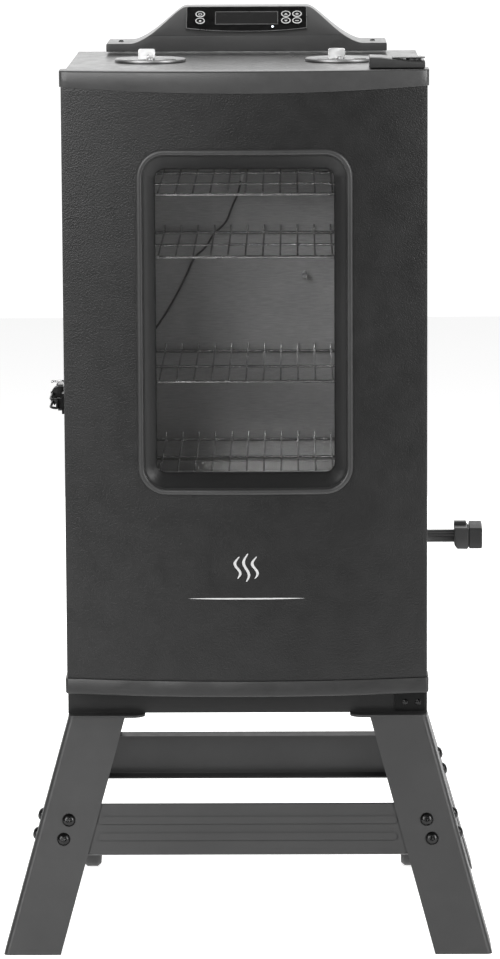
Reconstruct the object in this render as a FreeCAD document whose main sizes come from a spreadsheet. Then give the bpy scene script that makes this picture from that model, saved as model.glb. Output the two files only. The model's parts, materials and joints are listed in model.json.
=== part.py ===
import FreeCAD, Part
import math
import os
import re

from FreeCAD import Placement, Rotation, Vector

# Electric cabinet smoker on a splayed sheet-steel stand.
# Frame: origin on the floor under the middle of the four feet, +X to the right, +Y to the back, +Z up.

os.makedirs("parts", exist_ok=True)
DOC = FreeCAD.newDocument("cabinet_smoker")
SHEET = DOC.addObject("Spreadsheet::Sheet", "Dimensions")

DIMENSIONS = {
    # stand
    "stand_height": 292, "foot_half_width": 312.5, "foot_half_depth": 262.5, "leg_splay": 81.5,
    "leg_face": 73, "leg_gauge": 2, "flange_reach": 99, "flange_gauge": 3, "beam_height": 66,
    "beam_depth": 15, "beam_centre": 154.5, "bolt_upper": 166, "bolt_lower": 142.5, "bolt_radius": 3,
    "rear_inset": 8, "rear_beam_rise": 5,
    "wheel_radius": 32, "wheel_width": 24, "wheel_inner": 207, "axle_radius": 4, "axle_back": 215.5,
    # cabinet
    "body_width": 452, "panel_fold": 16, "frame_width": 463, "body_front": -162.5, "body_back": 202.5,
    "body_bottom": 295, "body_top": 1124, "shell_gauge": 1.2, "frame_gauge": 2, "chamber_width": 391, "chamber_back": 167.5,
    "chamber_floor": 345, "chamber_ceiling": 1085, "liner_gauge": 1.2,
    # racks
    "rack_width": 371, "rack_front": -150.5, "rack_back": 159.5, "rack_base": 604, "rack_pitch": 40,
    "rack_rod": 2, "rack_rung": 1.2, "rung_pitch": 22.2, "rack_lip": 9, "support_gauge": 1.5,
    # vents
    "vent_offset": 123, "vent_centre": -17.5, "damper_radius": 46, "vent_radius": 11, "vent_throw": 28,
    # wood chip loader
    "loader_height": 512, "loader_depth": -82.5, "scoop_radius": 31, "ring_radius": 34, "sleeve_radius": 37,
    "grip_radius": 17, "stem_radius": 8.5, "grip_end": 307,
    # door
    "door_width": 460, "door_bottom": 331, "door_top": 1126, "door_front": -212.5, "door_back": -172.5,
    "door_bow": 24, "cap_height": 20, "skin_gauge": 1.5, "window_width": 272, "window_low": 591,
    "window_high": 1028.5, "window_corner": 36, "glass_width": 225, "glass_low": 617, "glass_high": 1001.6,
    "glass_gauge": 4, "hinge_across": 213, "hinge_along": -190.5, "pin_radius": 4,
    "latch_height": 704,
    # controller
    "wing_half": 186, "crown_half": 89, "control_base": 1128, "control_top": 1184.5, "control_front": 127.5,
    "control_back": 237.5, "wing_gauge": 10.5, "panel_width": 160, "panel_low": 8, "panel_high": 59, "panel_lean": 55,
    "panel_foot": 1149, "panel_gauge": 1.5, "button_radius": 6.4, "button_gap": 0.35,
    # fits
    "running_fit": 0.05, "clear_gap": 0.3,
}


class Sizes:
    """The sheet's numbers, read back by name."""


def fill_sheet():
    for row, (name, number) in enumerate(DIMENSIONS.items(), start=1):
        SHEET.set(f"A{row}", name)
        SHEET.set(f"B{row}", str(number))
        SHEET.setAlias(f"B{row}", name)
    DOC.recompute()
    for name in DIMENSIONS:
        setattr(Sizes, name, float(getattr(SHEET, name)))


fill_sheet()
D = Sizes
ALIAS = re.compile(r"\b(" + "|".join(DIMENSIONS) + r")\b")
X_AXIS = Vector(1, 0, 0)
Y_AXIS = Vector(0, 1, 0)
Z_AXIS = Vector(0, 0, 1)
NODES = []


def bind(item, **expressions):
    """Bind properties to expressions over the sheet; plain numbers are allowed too."""
    for name, expression in expressions.items():
        text = ALIAS.sub(r"Dimensions.\1", str(expression))
        item.setExpression(name.replace("__", "."), text)


def place(item, across="0", along="0", up="0", turn=None):
    """Put an item at a point given by three expressions, with an optional rotation."""
    if turn:
        item.Placement = Placement(Vector(0, 0, 0), turn)
    bind(item, Placement__Base__x=across, Placement__Base__y=along, Placement__Base__z=up)
    return item


def node(item, label):
    """Name a finished sub-part; its label is its file's name."""
    item.Label = label
    NODES.append(item)
    return item


def box(length, width, height, across, along, up):
    """A block whose lowest corner is at the given point."""
    item = DOC.addObject("Part::Box", "Block")
    bind(item, Length=length, Width=width, Height=height)
    return place(item, across, along, up)


def rod(radius, length, across, along, up, axis=Z_AXIS):
    """A round bar that starts at the given point and runs along the axis."""
    item = DOC.addObject("Part::Cylinder", "Bar")
    bind(item, Radius=radius, Height=length)
    return place(item, across, along, up, Rotation(Z_AXIS, axis))


def fuse(*items):
    joined = DOC.addObject("Part::MultiFuse", "Joined")
    joined.Shapes = list(items)
    joined.Refine = True
    return joined


def cut(base, *tools):
    tool = tools[0] if len(tools) == 1 else fuse(*tools)
    result = DOC.addObject("Part::Cut", "Pierced")
    result.Base = base
    result.Tool = tool
    return result


def common(first, second):
    result = DOC.addObject("Part::Common", "Shared")
    result.Base = first
    result.Tool = second
    return result


def group(*items):
    """Separate solids that share one node."""
    result = DOC.addObject("Part::Compound", "Set")
    result.Links = list(items)
    return result


def copy_of(item, placement):
    """A copy of a finished shape, moved as a whole."""
    result = DOC.addObject("Part::Compound", "Copy")
    result.Links = [item]
    result.Placement = placement
    return result


def feature(shape):
    result = DOC.addObject("Part::Feature", "Form")
    result.Shape = shape
    return result


# ---------------------------------------------------------------- sketches and bodies

def rounded_outline(corners, radii):
    """Lines and arcs of a closed flat outline; a radius of 0 leaves that corner sharp."""
    count = len(corners)
    radii = radii if isinstance(radii, (list, tuple)) else [radii] * count
    starts, ends, arcs = [], [], []
    for i, corner in enumerate(corners):
        corner = Vector(*corner)
        before = (Vector(*corners[i - 1]) - corner).normalize()
        after = (Vector(*corners[(i + 1) % count]) - corner).normalize()
        if radii[i] <= 0:
            starts.append(corner)
            ends.append(corner)
            arcs.append(None)
            continue
        half = before.getAngle(after) / 2
        reach = radii[i] / math.tan(half)
        bisector = (before + after).normalize()
        centre = corner + bisector * (radii[i] / math.sin(half))
        middle = centre - bisector * radii[i]
        starts.append(corner + before * reach)
        ends.append(corner + after * reach)
        arcs.append(middle)
    edges = []
    for i in range(count):
        if arcs[i] is not None:
            edges.append(Part.Arc(starts[i], arcs[i], ends[i]))
        here, there = ends[i], starts[(i + 1) % count]
        if here.distanceToPoint(there) > 1e-6:
            edges.append(Part.LineSegment(here, there))
    return edges


def rectangle(low_x, low_y, high_x, high_y, radius=0.0):
    corners = [(low_x, low_y, 0), (high_x, low_y, 0), (high_x, high_y, 0), (low_x, high_y, 0)]
    return rounded_outline(corners, radius)


def new_body():
    return DOC.addObject("PartDesign::Body", "Piece")


def sketch(body, plane, *outlines, offset=0.0):
    """A sketch on one of the body's own origin planes."""
    item = body.newObject("Sketcher::SketchObject", "Outline")
    role = [f for f in body.Origin.OriginFeatures if f.Role == plane][0]
    item.AttachmentSupport = [(role, "")]
    item.MapMode = "FlatFace"
    item.AttachmentOffset = Placement(Vector(0, 0, offset), Rotation())
    for outline in outlines:
        item.addGeometry(outline, False)
    return item


def pad(body, outline, length, both_ways=False, vector=None):
    item = body.newObject("PartDesign::Pad", "Pad")
    item.Profile = outline
    item.Midplane = both_ways
    bind(item, Length=length)
    if vector:
        item.UseCustomVector = True
        item.Direction = vector
        item.AlongSketchNormal = True
    outline.Visibility = False
    body.Tip = item
    DOC.recompute()
    return item


def revolve(body, outline, axis="V_Axis"):
    item = body.newObject("PartDesign::Revolution", "Revolution")
    item.Profile = outline
    item.ReferenceAxis = (outline, [axis])
    item.Angle = 360
    body.Tip = item
    DOC.recompute()
    return item


def turned(profile, across, along, up, axis):
    """A turned piece: profile points are (radius, distance along the axis)."""
    body = new_body()
    outline = rounded_outline([(r, d, 0) for r, d in profile], 0)
    revolve(body, sketch(body, "XZ_Plane", outline))
    place(body, across, along, up, Rotation(Z_AXIS, axis))
    return body


# ---------------------------------------------------------------- stand

SPLAY = D.leg_splay / D.stand_height
LEAN = math.degrees(math.atan(SPLAY))
SIDE_SPAN = 2 * (D.foot_half_depth - SPLAY * D.beam_centre) - D.leg_face
SIDE_SKEW = math.atan(D.rear_inset / SIDE_SPAN)
SIDE_SLACK = D.leg_face / 2 * math.tan(SIDE_SKEW)
CORNERS = [("front_left", -1, -1, 0), ("front_right", 1, -1, 90), ("rear_right", 1, 1, 180), ("rear_left", -1, 1, 270)]


def leg_body():
    """One corner leg, outer corner of the foot at the origin, faces towards +X and +Y."""
    body = new_body()
    face, gauge, reach = D.leg_face, D.leg_gauge, D.flange_reach
    angle = [(0, 0, 0), (face, 0, 0), (face, gauge, 0), (gauge, gauge, 0), (gauge, face, 0), (0, face, 0)]
    rounding = [7, 0, 0, 5, 0, 0]
    profile = sketch(body, "XY_Plane", rounded_outline(angle, rounding))
    slant = Vector(D.leg_splay, D.leg_splay, D.stand_height)
    pad(body, profile, "stand_height", vector=slant)
    sole = [(1.2, 1.2, 0), (64, 1.2, 0), (64, 20, 0), (20, 64, 0), (1.2, 64, 0)]
    pad(body, sketch(body, "XY_Plane", rounded_outline(sole, [5, 8, 8, 8, 8])), "flange_gauge")
    wide = 34.0
    rim = [(0, 0, 0), (reach, 0, 0), (reach, wide, 0), (wide, wide, 0), (wide, reach, 0), (0, reach, 0)]
    rim = [(x + D.leg_splay, y + D.leg_splay, 0) for x, y, _ in rim]
    end = 16.5
    flange = sketch(body, "XY_Plane", rounded_outline(rim, [7, end, end, 12, end, end]), offset=D.stand_height)
    pad(body, flange, "flange_gauge")
    return body


def bolt_spots():
    """(height, offset of the bolt from the outer corner along the face) of each leg's face bolts."""
    return [(D.bolt_upper, D.leg_face / 2), (D.bolt_lower, D.leg_face / 2)]


def bolt_frame(height, along_face):
    """Where a bolt's axis meets the leg's outer face, in the leg's own frame, and the way in."""
    spot = Vector(SPLAY * height + along_face, SPLAY * height, height)
    inward = Vector(0, D.stand_height, -D.leg_splay).normalize()
    return spot, inward


def side_frame(spot, inward):
    """The same bolt on the leg's other face: the leg is symmetric about its corner's diagonal."""
    return Vector(spot.y, spot.x, spot.z), Vector(inward.y, inward.x, inward.z)


def leg_frame(index):
    """Placement that carries the leg's own frame to one corner of the stand."""
    _, side, end, angle = CORNERS[index]
    inset = D.rear_inset if end > 0 else 0
    corner = Vector(side * (D.foot_half_width - inset), end * D.foot_half_depth, 0)
    return Placement(corner, Rotation(Z_AXIS, angle))


def all_bolts():
    """Axis point and inward direction of every stand bolt, in the stand's frame."""
    found = []
    for index in range(4):
        frame = leg_frame(index)
        for height, along_face in bolt_spots():
            front = bolt_frame(height, along_face)
            for spot, inward in (front, side_frame(*front)):
                found.append((frame.multVec(spot), frame.Rotation.multVec(inward)))
    return found


def bolt_holes(bolts):
    """Clearance drills through the sheets at the bolts."""
    drills = []
    for spot, inward in bolts:
        drill = DOC.addObject("Part::Cylinder", "Drill")
        bind(drill, Radius="bolt_radius + clear_gap", Height=24)
        drill.Placement = Placement(spot - inward * 12, Rotation(Z_AXIS, inward))
        drills.append(drill)
    return drills


def nearest_bolts(bolts, test):
    return [b for b in bolts if test(b[0])]


def make_legs(bolts):
    for index, (name, side, end, _) in enumerate(CORNERS):
        leg = leg_body()
        leg.Placement = leg_frame(index)
        near = nearest_bolts(bolts, lambda p: p.x * side > 0 and p.y * end > 0)
        node(cut(leg, *bolt_holes(near)), f"leg_{name}")


def beam_body(half_length):
    """A pressed channel along X: web in the XZ plane facing -Y, with two raised ribs, centred on its web."""
    body = new_body()
    half, deep, gauge = D.beam_height / 2, D.beam_depth, D.leg_gauge
    channel = [(0, -half, 0), (deep, -half, 0), (deep, gauge - half, 0), (gauge, gauge - half, 0),
               (gauge, half - gauge, 0), (deep, half - gauge, 0), (deep, half, 0), (0, half, 0)]
    profile = sketch(body, "YZ_Plane", rounded_outline(channel, [2.4, 0, 0, 1, 1, 0, 0, 2.4]))
    pad(body, profile, str(2 * half_length), both_ways=True)
    rib_half, rib_rise = half_length - 58.5, 2.4
    for centre in (-10.5, 10.5):
        rib = rectangle(-rib_half, centre - 4.5, rib_half, centre + 4.5, 4.4)
        pad(body, sketch(body, "XZ_Plane", rib, offset=-0.2), str(rib_rise + 0.2))
    return body


def beam(half_length, across, along, up, turn, slack=0.0):
    """A beam that lies against the inside of the leaning leg faces on one side of the stand."""
    body = beam_body(half_length)
    inside = D.leg_gauge / math.cos(math.radians(LEAN)) + 0.1 + slack
    lean = Rotation(X_AXIS, -LEAN)
    middle = Vector(across, along, 0) + turn.multVec(Vector(0, inside + SPLAY * up, 0))
    middle.z = up
    body.Placement = Placement(middle, turn * lean)
    return pressed(body, half_length)


def pressed(body, half_length):
    """The same beam with the hollows that the ribs leave on its inner side."""
    hollows = []
    for centre in (-10.5, 10.5):
        long_half, tall = half_length - 60.5, 5.0
        hollow = box(2 * long_half, 3.4, tall, -long_half, D.leg_gauge - 3.2, centre - tall / 2)
        hollow.Placement = body.Placement * hollow.Placement
        hollows.append(hollow)
    return cut(body, *hollows)


def make_beams(bolts):
    long_half, short_half = 250.0, 192.0
    front = beam(long_half, 0, -D.foot_half_depth, D.beam_centre, Rotation())
    node(cut(front, *bolt_holes(nearest_bolts(bolts, lambda p: p.y < -200))), "beam_front")
    rear = beam(long_half - D.rear_inset - 1, 0, D.foot_half_depth, D.beam_centre + D.rear_beam_rise, Rotation(Z_AXIS, 180))
    node(cut(rear, *bolt_holes(nearest_bolts(bolts, lambda p: p.y > 200))), "beam_rear")
    sides = []
    for side in (-1, 1):
        turn = Rotation(Z_AXIS, side * (90 + math.degrees(SIDE_SKEW)))
        plain = beam(short_half, side * (D.foot_half_width - D.rear_inset / 2), 0, D.beam_centre, turn, SIDE_SLACK)
        near = nearest_bolts(bolts, lambda p: p.x * side > 0 and abs(p.y) < 200)
        sides.append(cut(plain, *bolt_holes(near)))
    node(group(*sides), "beams_side")


def bolt_shape(slack):
    """A button-head bolt with a cross recess and a nut behind the sheets, head towards -Z."""
    body = new_body()
    head, rise, shank = 8.5, 4.2, D.bolt_radius
    grip = 2 * D.leg_gauge + 0.2 + slack
    edges = [Part.LineSegment(Vector(0, -rise, 0), Vector(0, grip + 8, 0)),
             Part.LineSegment(Vector(0, grip + 8, 0), Vector(shank, grip + 8, 0)),
             Part.LineSegment(Vector(shank, grip + 8, 0), Vector(shank, grip + 5.2, 0)),
             Part.LineSegment(Vector(shank, grip + 5.2, 0), Vector(5.5, grip + 5.2, 0)),
             Part.LineSegment(Vector(5.5, grip + 5.2, 0), Vector(5.5, grip + 0.1, 0)),
             Part.LineSegment(Vector(5.5, grip + 0.1, 0), Vector(shank, grip + 0.1, 0)),
             Part.LineSegment(Vector(shank, grip + 0.1, 0), Vector(shank, 0, 0)),
             Part.LineSegment(Vector(shank, 0, 0), Vector(head, 0, 0)),
             Part.Arc(Vector(head, 0, 0), Vector(head * 0.74, -rise * 0.72, 0), Vector(0, -rise, 0))]
    revolve(body, sketch(body, "XZ_Plane", edges))
    for wide, tall in ((6.4, 1.3), (1.3, 6.4)):
        slot = body.newObject("PartDesign::Pocket", "Cross")
        slot.Profile = sketch(body, "XY_Plane", rectangle(-wide / 2, -tall / 2, wide / 2, tall / 2), offset=-8)
        slot.Length = 6
        slot.Reversed = True
        body.Tip = slot
        DOC.recompute()
    return body


def hinge_screw_frames():
    """Screws that hold the two hinge brackets to the cabinet."""
    top = [(Vector(x, -136, D.body_top + 3.0), Vector(0, 0, -1)) for x in (168, 206)]
    front = [(Vector(x, D.body_front - 4.0, 309), Vector(0, 1, 0)) for x in (203, 220)]
    return top + front


def make_fasteners(bolts):
    plain, longer = bolt_shape(0.0), bolt_shape(SIDE_SLACK + 0.15)
    copies = []
    for spot, inward in bolts:
        pattern = longer if abs(inward.x) > 0.5 else plain
        copies.append(copy_of(pattern, Placement(spot - inward * 0.05, Rotation(Z_AXIS, inward))))
    small = turned([(0, -2.4), (3.6, -1.6), (4.0, 0), (2.0, 0), (2.0, 4.6), (0, 4.6)], "0", "0", "0", Z_AXIS)
    for spot, inward in hinge_screw_frames():
        copies.append(copy_of(small, Placement(spot, Rotation(Z_AXIS, inward))))
    node(group(*copies), "fasteners")


def make_wheels():
    """Two transport wheels on one axle between the rear legs, just inboard of the feet."""
    inner, wide = D.wheel_inner, D.wheel_width
    end = 292.0
    shaft = D.axle_radius
    collar = shaft + 4
    near, far = inner - D.clear_gap, inner + wide + D.clear_gap
    half = [(0, 0), (collar, 0), (collar, near), (shaft, near), (shaft, far), (collar, far),
            (collar, far + 3), (shaft, far + 3), (shaft, end), (0, end)]
    halves = [turned(half, "0", "axle_back", "wheel_radius", X_AXIS * side) for side in (-1, 1)]
    node(fuse(*halves), "wheel_axle")
    r, w, bore = D.wheel_radius, wide / 2, shaft + D.running_fit
    tread = [(bore, -w), (14, -w), (15, 2 - w), (r - 11, 3 - w), (r - 9, -w), (r - 4, -w), (r, 5 - w),
             (r, w - 5), (r - 4, w), (r - 9, w), (r - 11, w - 3), (15, w - 2), (14, w), (bore, w)]
    for name, side in (("left", -1), ("right", 1)):
        middle = f"{side} * (wheel_inner + wheel_width / 2)"
        node(turned(tread, middle, "axle_back", "wheel_radius", X_AXIS), f"wheel_{name}")


# ---------------------------------------------------------------- cabinet

def make_shell():
    """Outer walls: a folded panel each side, a flat back between their folds, a top, a bottom and a front frame."""
    low, high = D.body_bottom + D.shell_gauge, D.body_top - D.shell_gauge
    half, gauge, fold = D.body_width / 2, D.shell_gauge, D.panel_fold
    front, back = D.body_front + D.frame_gauge, D.body_back
    loader = rod("sleeve_radius + clear_gap", 40, "body_width / 2 - 20", "loader_depth", "loader_height", X_AXIS)
    for name, side in (("left", -1), ("right", 1)):
        body = new_body()
        plan = [(half, front), (half, back), (half - fold, back), (half - fold, back - gauge), (half - gauge, back - gauge),
                (half - gauge, front)]
        rounding = [0, 8, 0, 0, 8 - gauge, 0]
        profile = sketch(body, "XY_Plane", rounded_outline([(side * x, y, 0) for x, y in plan], rounding), offset=low)
        pad(body, profile, str(high - low))
        node(cut(body, loader) if side > 0 else body, f"side_panel_{name}")
    inlet = rod(9, 10, -120, "body_back - 5", 350, Y_AXIS)
    back_panel = box("body_width - 2 * panel_fold", "shell_gauge", str(high - low), "panel_fold - body_width / 2",
                     "body_back - shell_gauge", str(low))
    node(cut(back_panel, inlet), "back_panel")

    top = box("body_width", "body_back - body_front - 2", "shell_gauge", "-body_width / 2", "body_front + 2",
              "body_top - shell_gauge")
    rims, holes = [], []
    for side in (-1, 1):
        across = f"{side} * vent_offset"
        rims.append(rod("damper_radius - 2", 1.2, across, "vent_centre", "body_top - 0.2"))
        holes.append(rod(3 + D.running_fit, 20, across, "vent_centre", "body_top - 10"))
        holes.append(rod("vent_radius", 20, f"{across} + vent_throw", "vent_centre", "body_top - 10"))
    holes += [rod(2.3, 10, x, -136, "body_top - 6") for x in (168, 206)]
    node(cut(fuse(top, *rims), *holes), "top_panel")

    bottom = box("body_width", "body_back - body_front - 2", "shell_gauge", "-body_width / 2", "body_front + 2",
                 "body_bottom")
    drain = rod(9, 20, 0, 120, "body_bottom - 5")
    runners = []
    for side in (-1, 1):
        inner, outer = sorted((side * 64.0, side * 66.0))
        lip_in, lip_out = sorted((side * 57.0, side * 66.0))
        runners.append(box(outer - inner, 140, 21.5, inner, 60, "body_bottom - 21"))
        runners.append(box(lip_out - lip_in, 140, 1.5, lip_in, 60, "body_bottom - 21"))
    node(cut(fuse(bottom, *runners), drain), "bottom_panel")

    frame = box("frame_width", "frame_gauge", "body_top - body_bottom", "-frame_width / 2", "body_front", "body_bottom")
    mouth = box("chamber_width", 10, "chamber_ceiling - chamber_floor", "-chamber_width / 2", "body_front - 4",
                "chamber_floor")
    screws = [rod(2.3, 10, x, "body_front - 4", 309, Y_AXIS) for x in (203, 220)]
    node(cut(frame, mouth, *screws), "front_frame")


def chamber_block(grow, reach, shrink="0"):
    """A block round the cooking chamber, grown on its closed sides."""
    return box(f"chamber_width + 2 * {grow}", f"chamber_back - body_front - 2 + {grow} + {reach}",
               f"chamber_ceiling - chamber_floor + 2 * {grow}", f"-chamber_width / 2 - {grow}",
               f"body_front + 2 - {reach} + {shrink}", f"chamber_floor - {grow}")


def service_holes(extra):
    """Ways through the walls: two vents, the chip loader, the heater, the drain and the mains lead."""
    found = [rod(f"sleeve_radius + {extra}", 60, "chamber_width / 2 - 5", "loader_depth", "loader_height", X_AXIS),
             rod(f"6 + {extra}", 80, 0, 120, "body_bottom - 5"),
             box(90, 60, 24, 40, "chamber_back - 8", 378)]
    for side in (-1, 1):
        found.append(rod(f"vent_radius + {extra}", 60, f"{side} * vent_offset + vent_throw", "vent_centre",
                         "chamber_ceiling - 6"))
        found.append(rod(6, 60, f"{side} * vent_offset", "vent_centre", "chamber_ceiling + 8"))
    return found


def make_chamber():
    """The stainless chamber liner and the insulation that fills the walls round it."""
    liner = cut(chamber_block("liner_gauge", "0"), chamber_block("0", "30"), *service_holes("clear_gap"))
    node(liner, "inner_liner")
    wool = box("body_width - 2 * shell_gauge - 5", "body_back - body_front - 6", "body_top - body_bottom - 4",
               "-body_width / 2 + shell_gauge + 2.5", "body_front + 2.2", "body_bottom + 2")
    lead = rod(9, 12, -120, "body_back - 10", 350, Y_AXIS)
    node(cut(wool, chamber_block("(liner_gauge + 0.2)", "30"), *service_holes("1"), lead), "insulation")


RACK_STEPS = (0, 3, 7, 9)
RUNG_LEVELS = 17


def make_rack_supports():
    """Two side ladders: uprights against the chamber walls with a folded ledge at each level."""
    sides = []
    for side in (-1, 1):
        pieces = []
        wall = D.chamber_width / 2 - 0.1
        for along in (-150.0, 0.0, 128.0):
            low, high = sorted((side * wall, side * (wall - 1.5)))
            pieces.append(box(high - low, 22, 662, low, along, 412))
        for level in range(-4, RUNG_LEVELS - 5):
            if side > 0 and level < -1:
                continue
            low, high = sorted((side * (wall - 1.0), side * (wall - 14)))
            pieces.append(box(high - low, 290, "support_gauge", low, -140, f"rack_base + {level} * rack_pitch - 3.6"))
        sides.append(fuse(*pieces))
    node(group(*sides), "rack_supports")


def rack_body():
    """A wire rack: a frame rod with rounded corners, one cross wire, and rungs turned up behind as a stop."""
    half, low, high = D.rack_width / 2 - D.rack_rod, D.rack_front + D.rack_rod, D.rack_back - D.rack_rod
    loop = rectangle(-half, low, half, high, 14)
    path = Part.Wire([e.toShape() for e in loop])
    start = path.Edges[0].valueAt(path.Edges[0].FirstParameter)
    heading = path.Edges[0].tangentAt(path.Edges[0].FirstParameter)
    ring = Part.Wire([Part.Circle(start, heading, D.rack_rod).toShape()])
    frame = feature(path.makePipeShell([ring], True, False))
    cross_wire = rod("rack_rod - 0.4", 2 * half, -half, low + 0.48 * (high - low), 0.2, X_AXIS)
    pieces = [frame, cross_wire]
    seat, each_side = D.rack_rod + D.rack_rung - 0.4, 7
    for i in range(-each_side, each_side + 1):
        across = i * D.rung_pitch
        pieces.append(rod("rack_rung", high - low + 2, across, low - 1, seat, Y_AXIS))
        pieces.append(rod("rack_rung", "rack_lip", across, high + 1 - D.rack_rung, seat - 1, Z_AXIS))
    return fuse(*pieces)


def make_racks():
    pattern = rack_body()
    for i, step in enumerate(RACK_STEPS, start=1):
        height = D.rack_base + step * D.rack_pitch
        node(copy_of(pattern, Placement(Vector(0, 0, height), Rotation())), f"rack_{i}")


def tray(length, width, height, across, along, up, gauge=1.0, rim=8.0, corner=10.0):
    """A shallow open pan with a flat rim round its top; its lowest front left corner is given."""
    body = new_body()
    pad(body, sketch(body, "XY_Plane", rectangle(0, 0, length, width, corner)), str(height))
    brim = rectangle(-rim, -rim, length + rim, width + rim, corner + rim)
    pad(body, sketch(body, "XY_Plane", brim, offset=height - gauge), str(gauge))
    hollow = body.newObject("PartDesign::Pocket", "Hollow")
    inner = rectangle(gauge, gauge, length - gauge, width - gauge, corner - gauge)
    hollow.Profile = sketch(body, "XY_Plane", inner, offset=height)
    hollow.Length = height - gauge
    body.Tip = hollow
    DOC.recompute()
    body.Placement = Placement(Vector(across, along, up), Rotation())
    return body


def make_trays():
    """Drip pan under the racks, water bowl above the floor, and the grease tray under the cabinet."""
    ledge = D.rack_base - D.rack_pitch - 2.1
    drip = tray(366, 286, 14, -183, -138, ledge + 0.1, rim=5)
    node(cut(drip, rod(6, 20, 0, 120, ledge - 5)), "drip_pan")
    node(tray(190, 200, 60, -168, -110, D.rack_base - 3 * D.rack_pitch - 61.6, rim=12, corner=24), "water_bowl")
    node(tray(124, 130, 16, -62, 84, D.body_bottom - 19, rim=0.5, corner=6), "grease_tray")


def make_heating():
    """Steel chip housing with its tray, and the bent heating rod below it."""
    shell = box(116, 104, 94, 74, -134, 452)
    inside = box(114.8, 101.6, 91.6, 74 - 1, -132.8, 453.2)
    mouth = rod("ring_radius + 1", 40, 170, "loader_depth", "loader_height", X_AXIS)
    node(cut(shell, inside, mouth), "chip_housing")
    node(tray(104, 90, 14, 78, -127, 453.6, rim=0, corner=6), "chip_tray")

    radius, bend = 4.0, 26.0
    length = D.chamber_back + 20
    legs = [rod(radius, length, 85 + side * bend, -20, 390, Y_AXIS) for side in (-1, 1)]
    turn = DOC.addObject("Part::Torus", "Bend")
    bind(turn, Radius1=bend, Radius2=radius)
    turn.Angle3 = 180
    turn.Placement = Placement(Vector(85, -20, 390), Rotation(Z_AXIS, 180))
    plate = box(88, 3, 22, 41, "chamber_back - 3.2", 379)
    node(fuse(*legs, turn, plate), "heating_element")
    bulb = [(0, 0), (7, 0), (7, 3), (4, 3), (4, 24), (3, 26), (0, 26)]
    node(turned(bulb, "76.6", "chamber_back - 0.05", "826.7", Vector(0, -1, 0)), "temp_sensor")


# ---------------------------------------------------------------- wood chip loader

def make_loader():
    """A scoop that slides out through the right wall and turns over in its ring to drop the chips."""
    wall = D.body_width / 2
    inside = D.chamber_width / 2
    sleeve_in = D.ring_radius + D.running_fit
    sleeve = [(sleeve_in, inside - 2), (D.sleeve_radius, inside - 2), (D.sleeve_radius, wall + 0.2),
              (D.sleeve_radius + 4, wall + 0.2), (D.sleeve_radius + 4, wall + 2.2), (sleeve_in, wall + 2.2)]
    node(turned(sleeve, "0", "loader_depth", "loader_height", X_AXIS), "loader_sleeve")
    ring_in = D.scoop_radius + D.running_fit
    ring = [(ring_in, wall - 18), (D.ring_radius, wall - 18), (D.ring_radius, wall + 2.6),
            (D.sleeve_radius + 1, wall + 2.6), (D.sleeve_radius + 1, wall + 4.2), (ring_in, wall + 4.2)]
    node(turned(ring, "0", "loader_depth", "loader_height", X_AXIS), "loader_ring")

    scoop = rod("scoop_radius", 118, wall - 114, "loader_depth", "loader_height", X_AXIS)
    hollow = rod("scoop_radius - 1.5", 92, wall - 112, "loader_depth", "loader_height", X_AXIS)
    open_top = box(92, 70, 40, wall - 112, "loader_depth - 35", "loader_height + 4")
    node(cut(scoop, hollow, open_top), "loader_scoop")
    start = wall + 4.6
    grip, stem = D.grip_radius, D.stem_radius
    knob = [(0, start), (26, start), (26, start + 2), (23, start + 4.4), (stem + 2, start + 4.4), (stem, start + 7),
            (stem, 270), (grip, 271), (grip, 277), (grip - 3, 278.5), (grip - 3, 282), (grip, 284),
            (grip, D.grip_end - 4), (grip - 4, D.grip_end), (0, D.grip_end)]
    node(turned(knob, "0", "loader_depth", "loader_height", X_AXIS), "loader_handle")


# ---------------------------------------------------------------- top vents

def make_dampers():
    """Round vent covers with an upright tab; each turns on its own rivet in the top panel."""
    for name, side in (("left", -1), ("right", 1)):
        across = f"{side} * vent_offset"
        base = D.body_top + 1.0 + D.clear_gap
        r = D.damper_radius
        lid = [(0, 0), (r - 3, 0), (r, -0.6), (r, 1.6), (r - 2.5, 3.2), (0, 3.2)]
        disc = turned(lid, across, "vent_centre", str(base), Z_AXIS)
        rivet = turned([(0, -8), (3, -8), (3, 3), (5, 3.1), (5, 4.0), (4, 4.6), (0, 4.6)], across, "vent_centre",
                       str(base), Z_AXIS)
        tab = box(21, 2, 12, f"{across} - 16.5", "vent_centre + 6", base + 3)
        opening = rod("vent_radius - 1", 12, f"{across} + vent_throw", "vent_centre", base - 2)
        node(cut(fuse(disc, rivet, tab), opening), f"damper_{name}")


# ---------------------------------------------------------------- door

BOW_RADIUS = (D.door_width ** 2 / 4 + D.door_bow ** 2) / (2 * D.door_bow)
BOW_CENTRE = D.door_front - D.door_bow + BOW_RADIUS


def bow_front(across, proud=0.0):
    """Y of the door's curved front at a place across it."""
    return BOW_CENTRE - math.sqrt((BOW_RADIUS + proud) ** 2 - across ** 2)


def door_block(half, back, low, high, proud=0.0, corner=4.0):
    """A solid of the door's plan between two heights: bowed front, rounded front corners, flat back."""
    edge = bow_front(half, proud)
    front = Part.Arc(Vector(-half, edge, low), Vector(0, bow_front(0, proud), low), Vector(half, edge, low))
    corners = [Vector(half, edge, low), Vector(half, back, low), Vector(-half, back, low), Vector(-half, edge, low)]
    sides = [Part.LineSegment(a, b).toShape() for a, b in zip(corners, corners[1:])]
    solid = Part.Face(Part.Wire([front.toShape()] + sides)).extrude(Vector(0, 0, high - low))
    upright = [e for e in solid.Edges if e.CenterOfMass.y < edge + 0.01 and abs(e.CenterOfMass.x) > half - 0.01]
    return solid.makeFillet(corner, upright)


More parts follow.
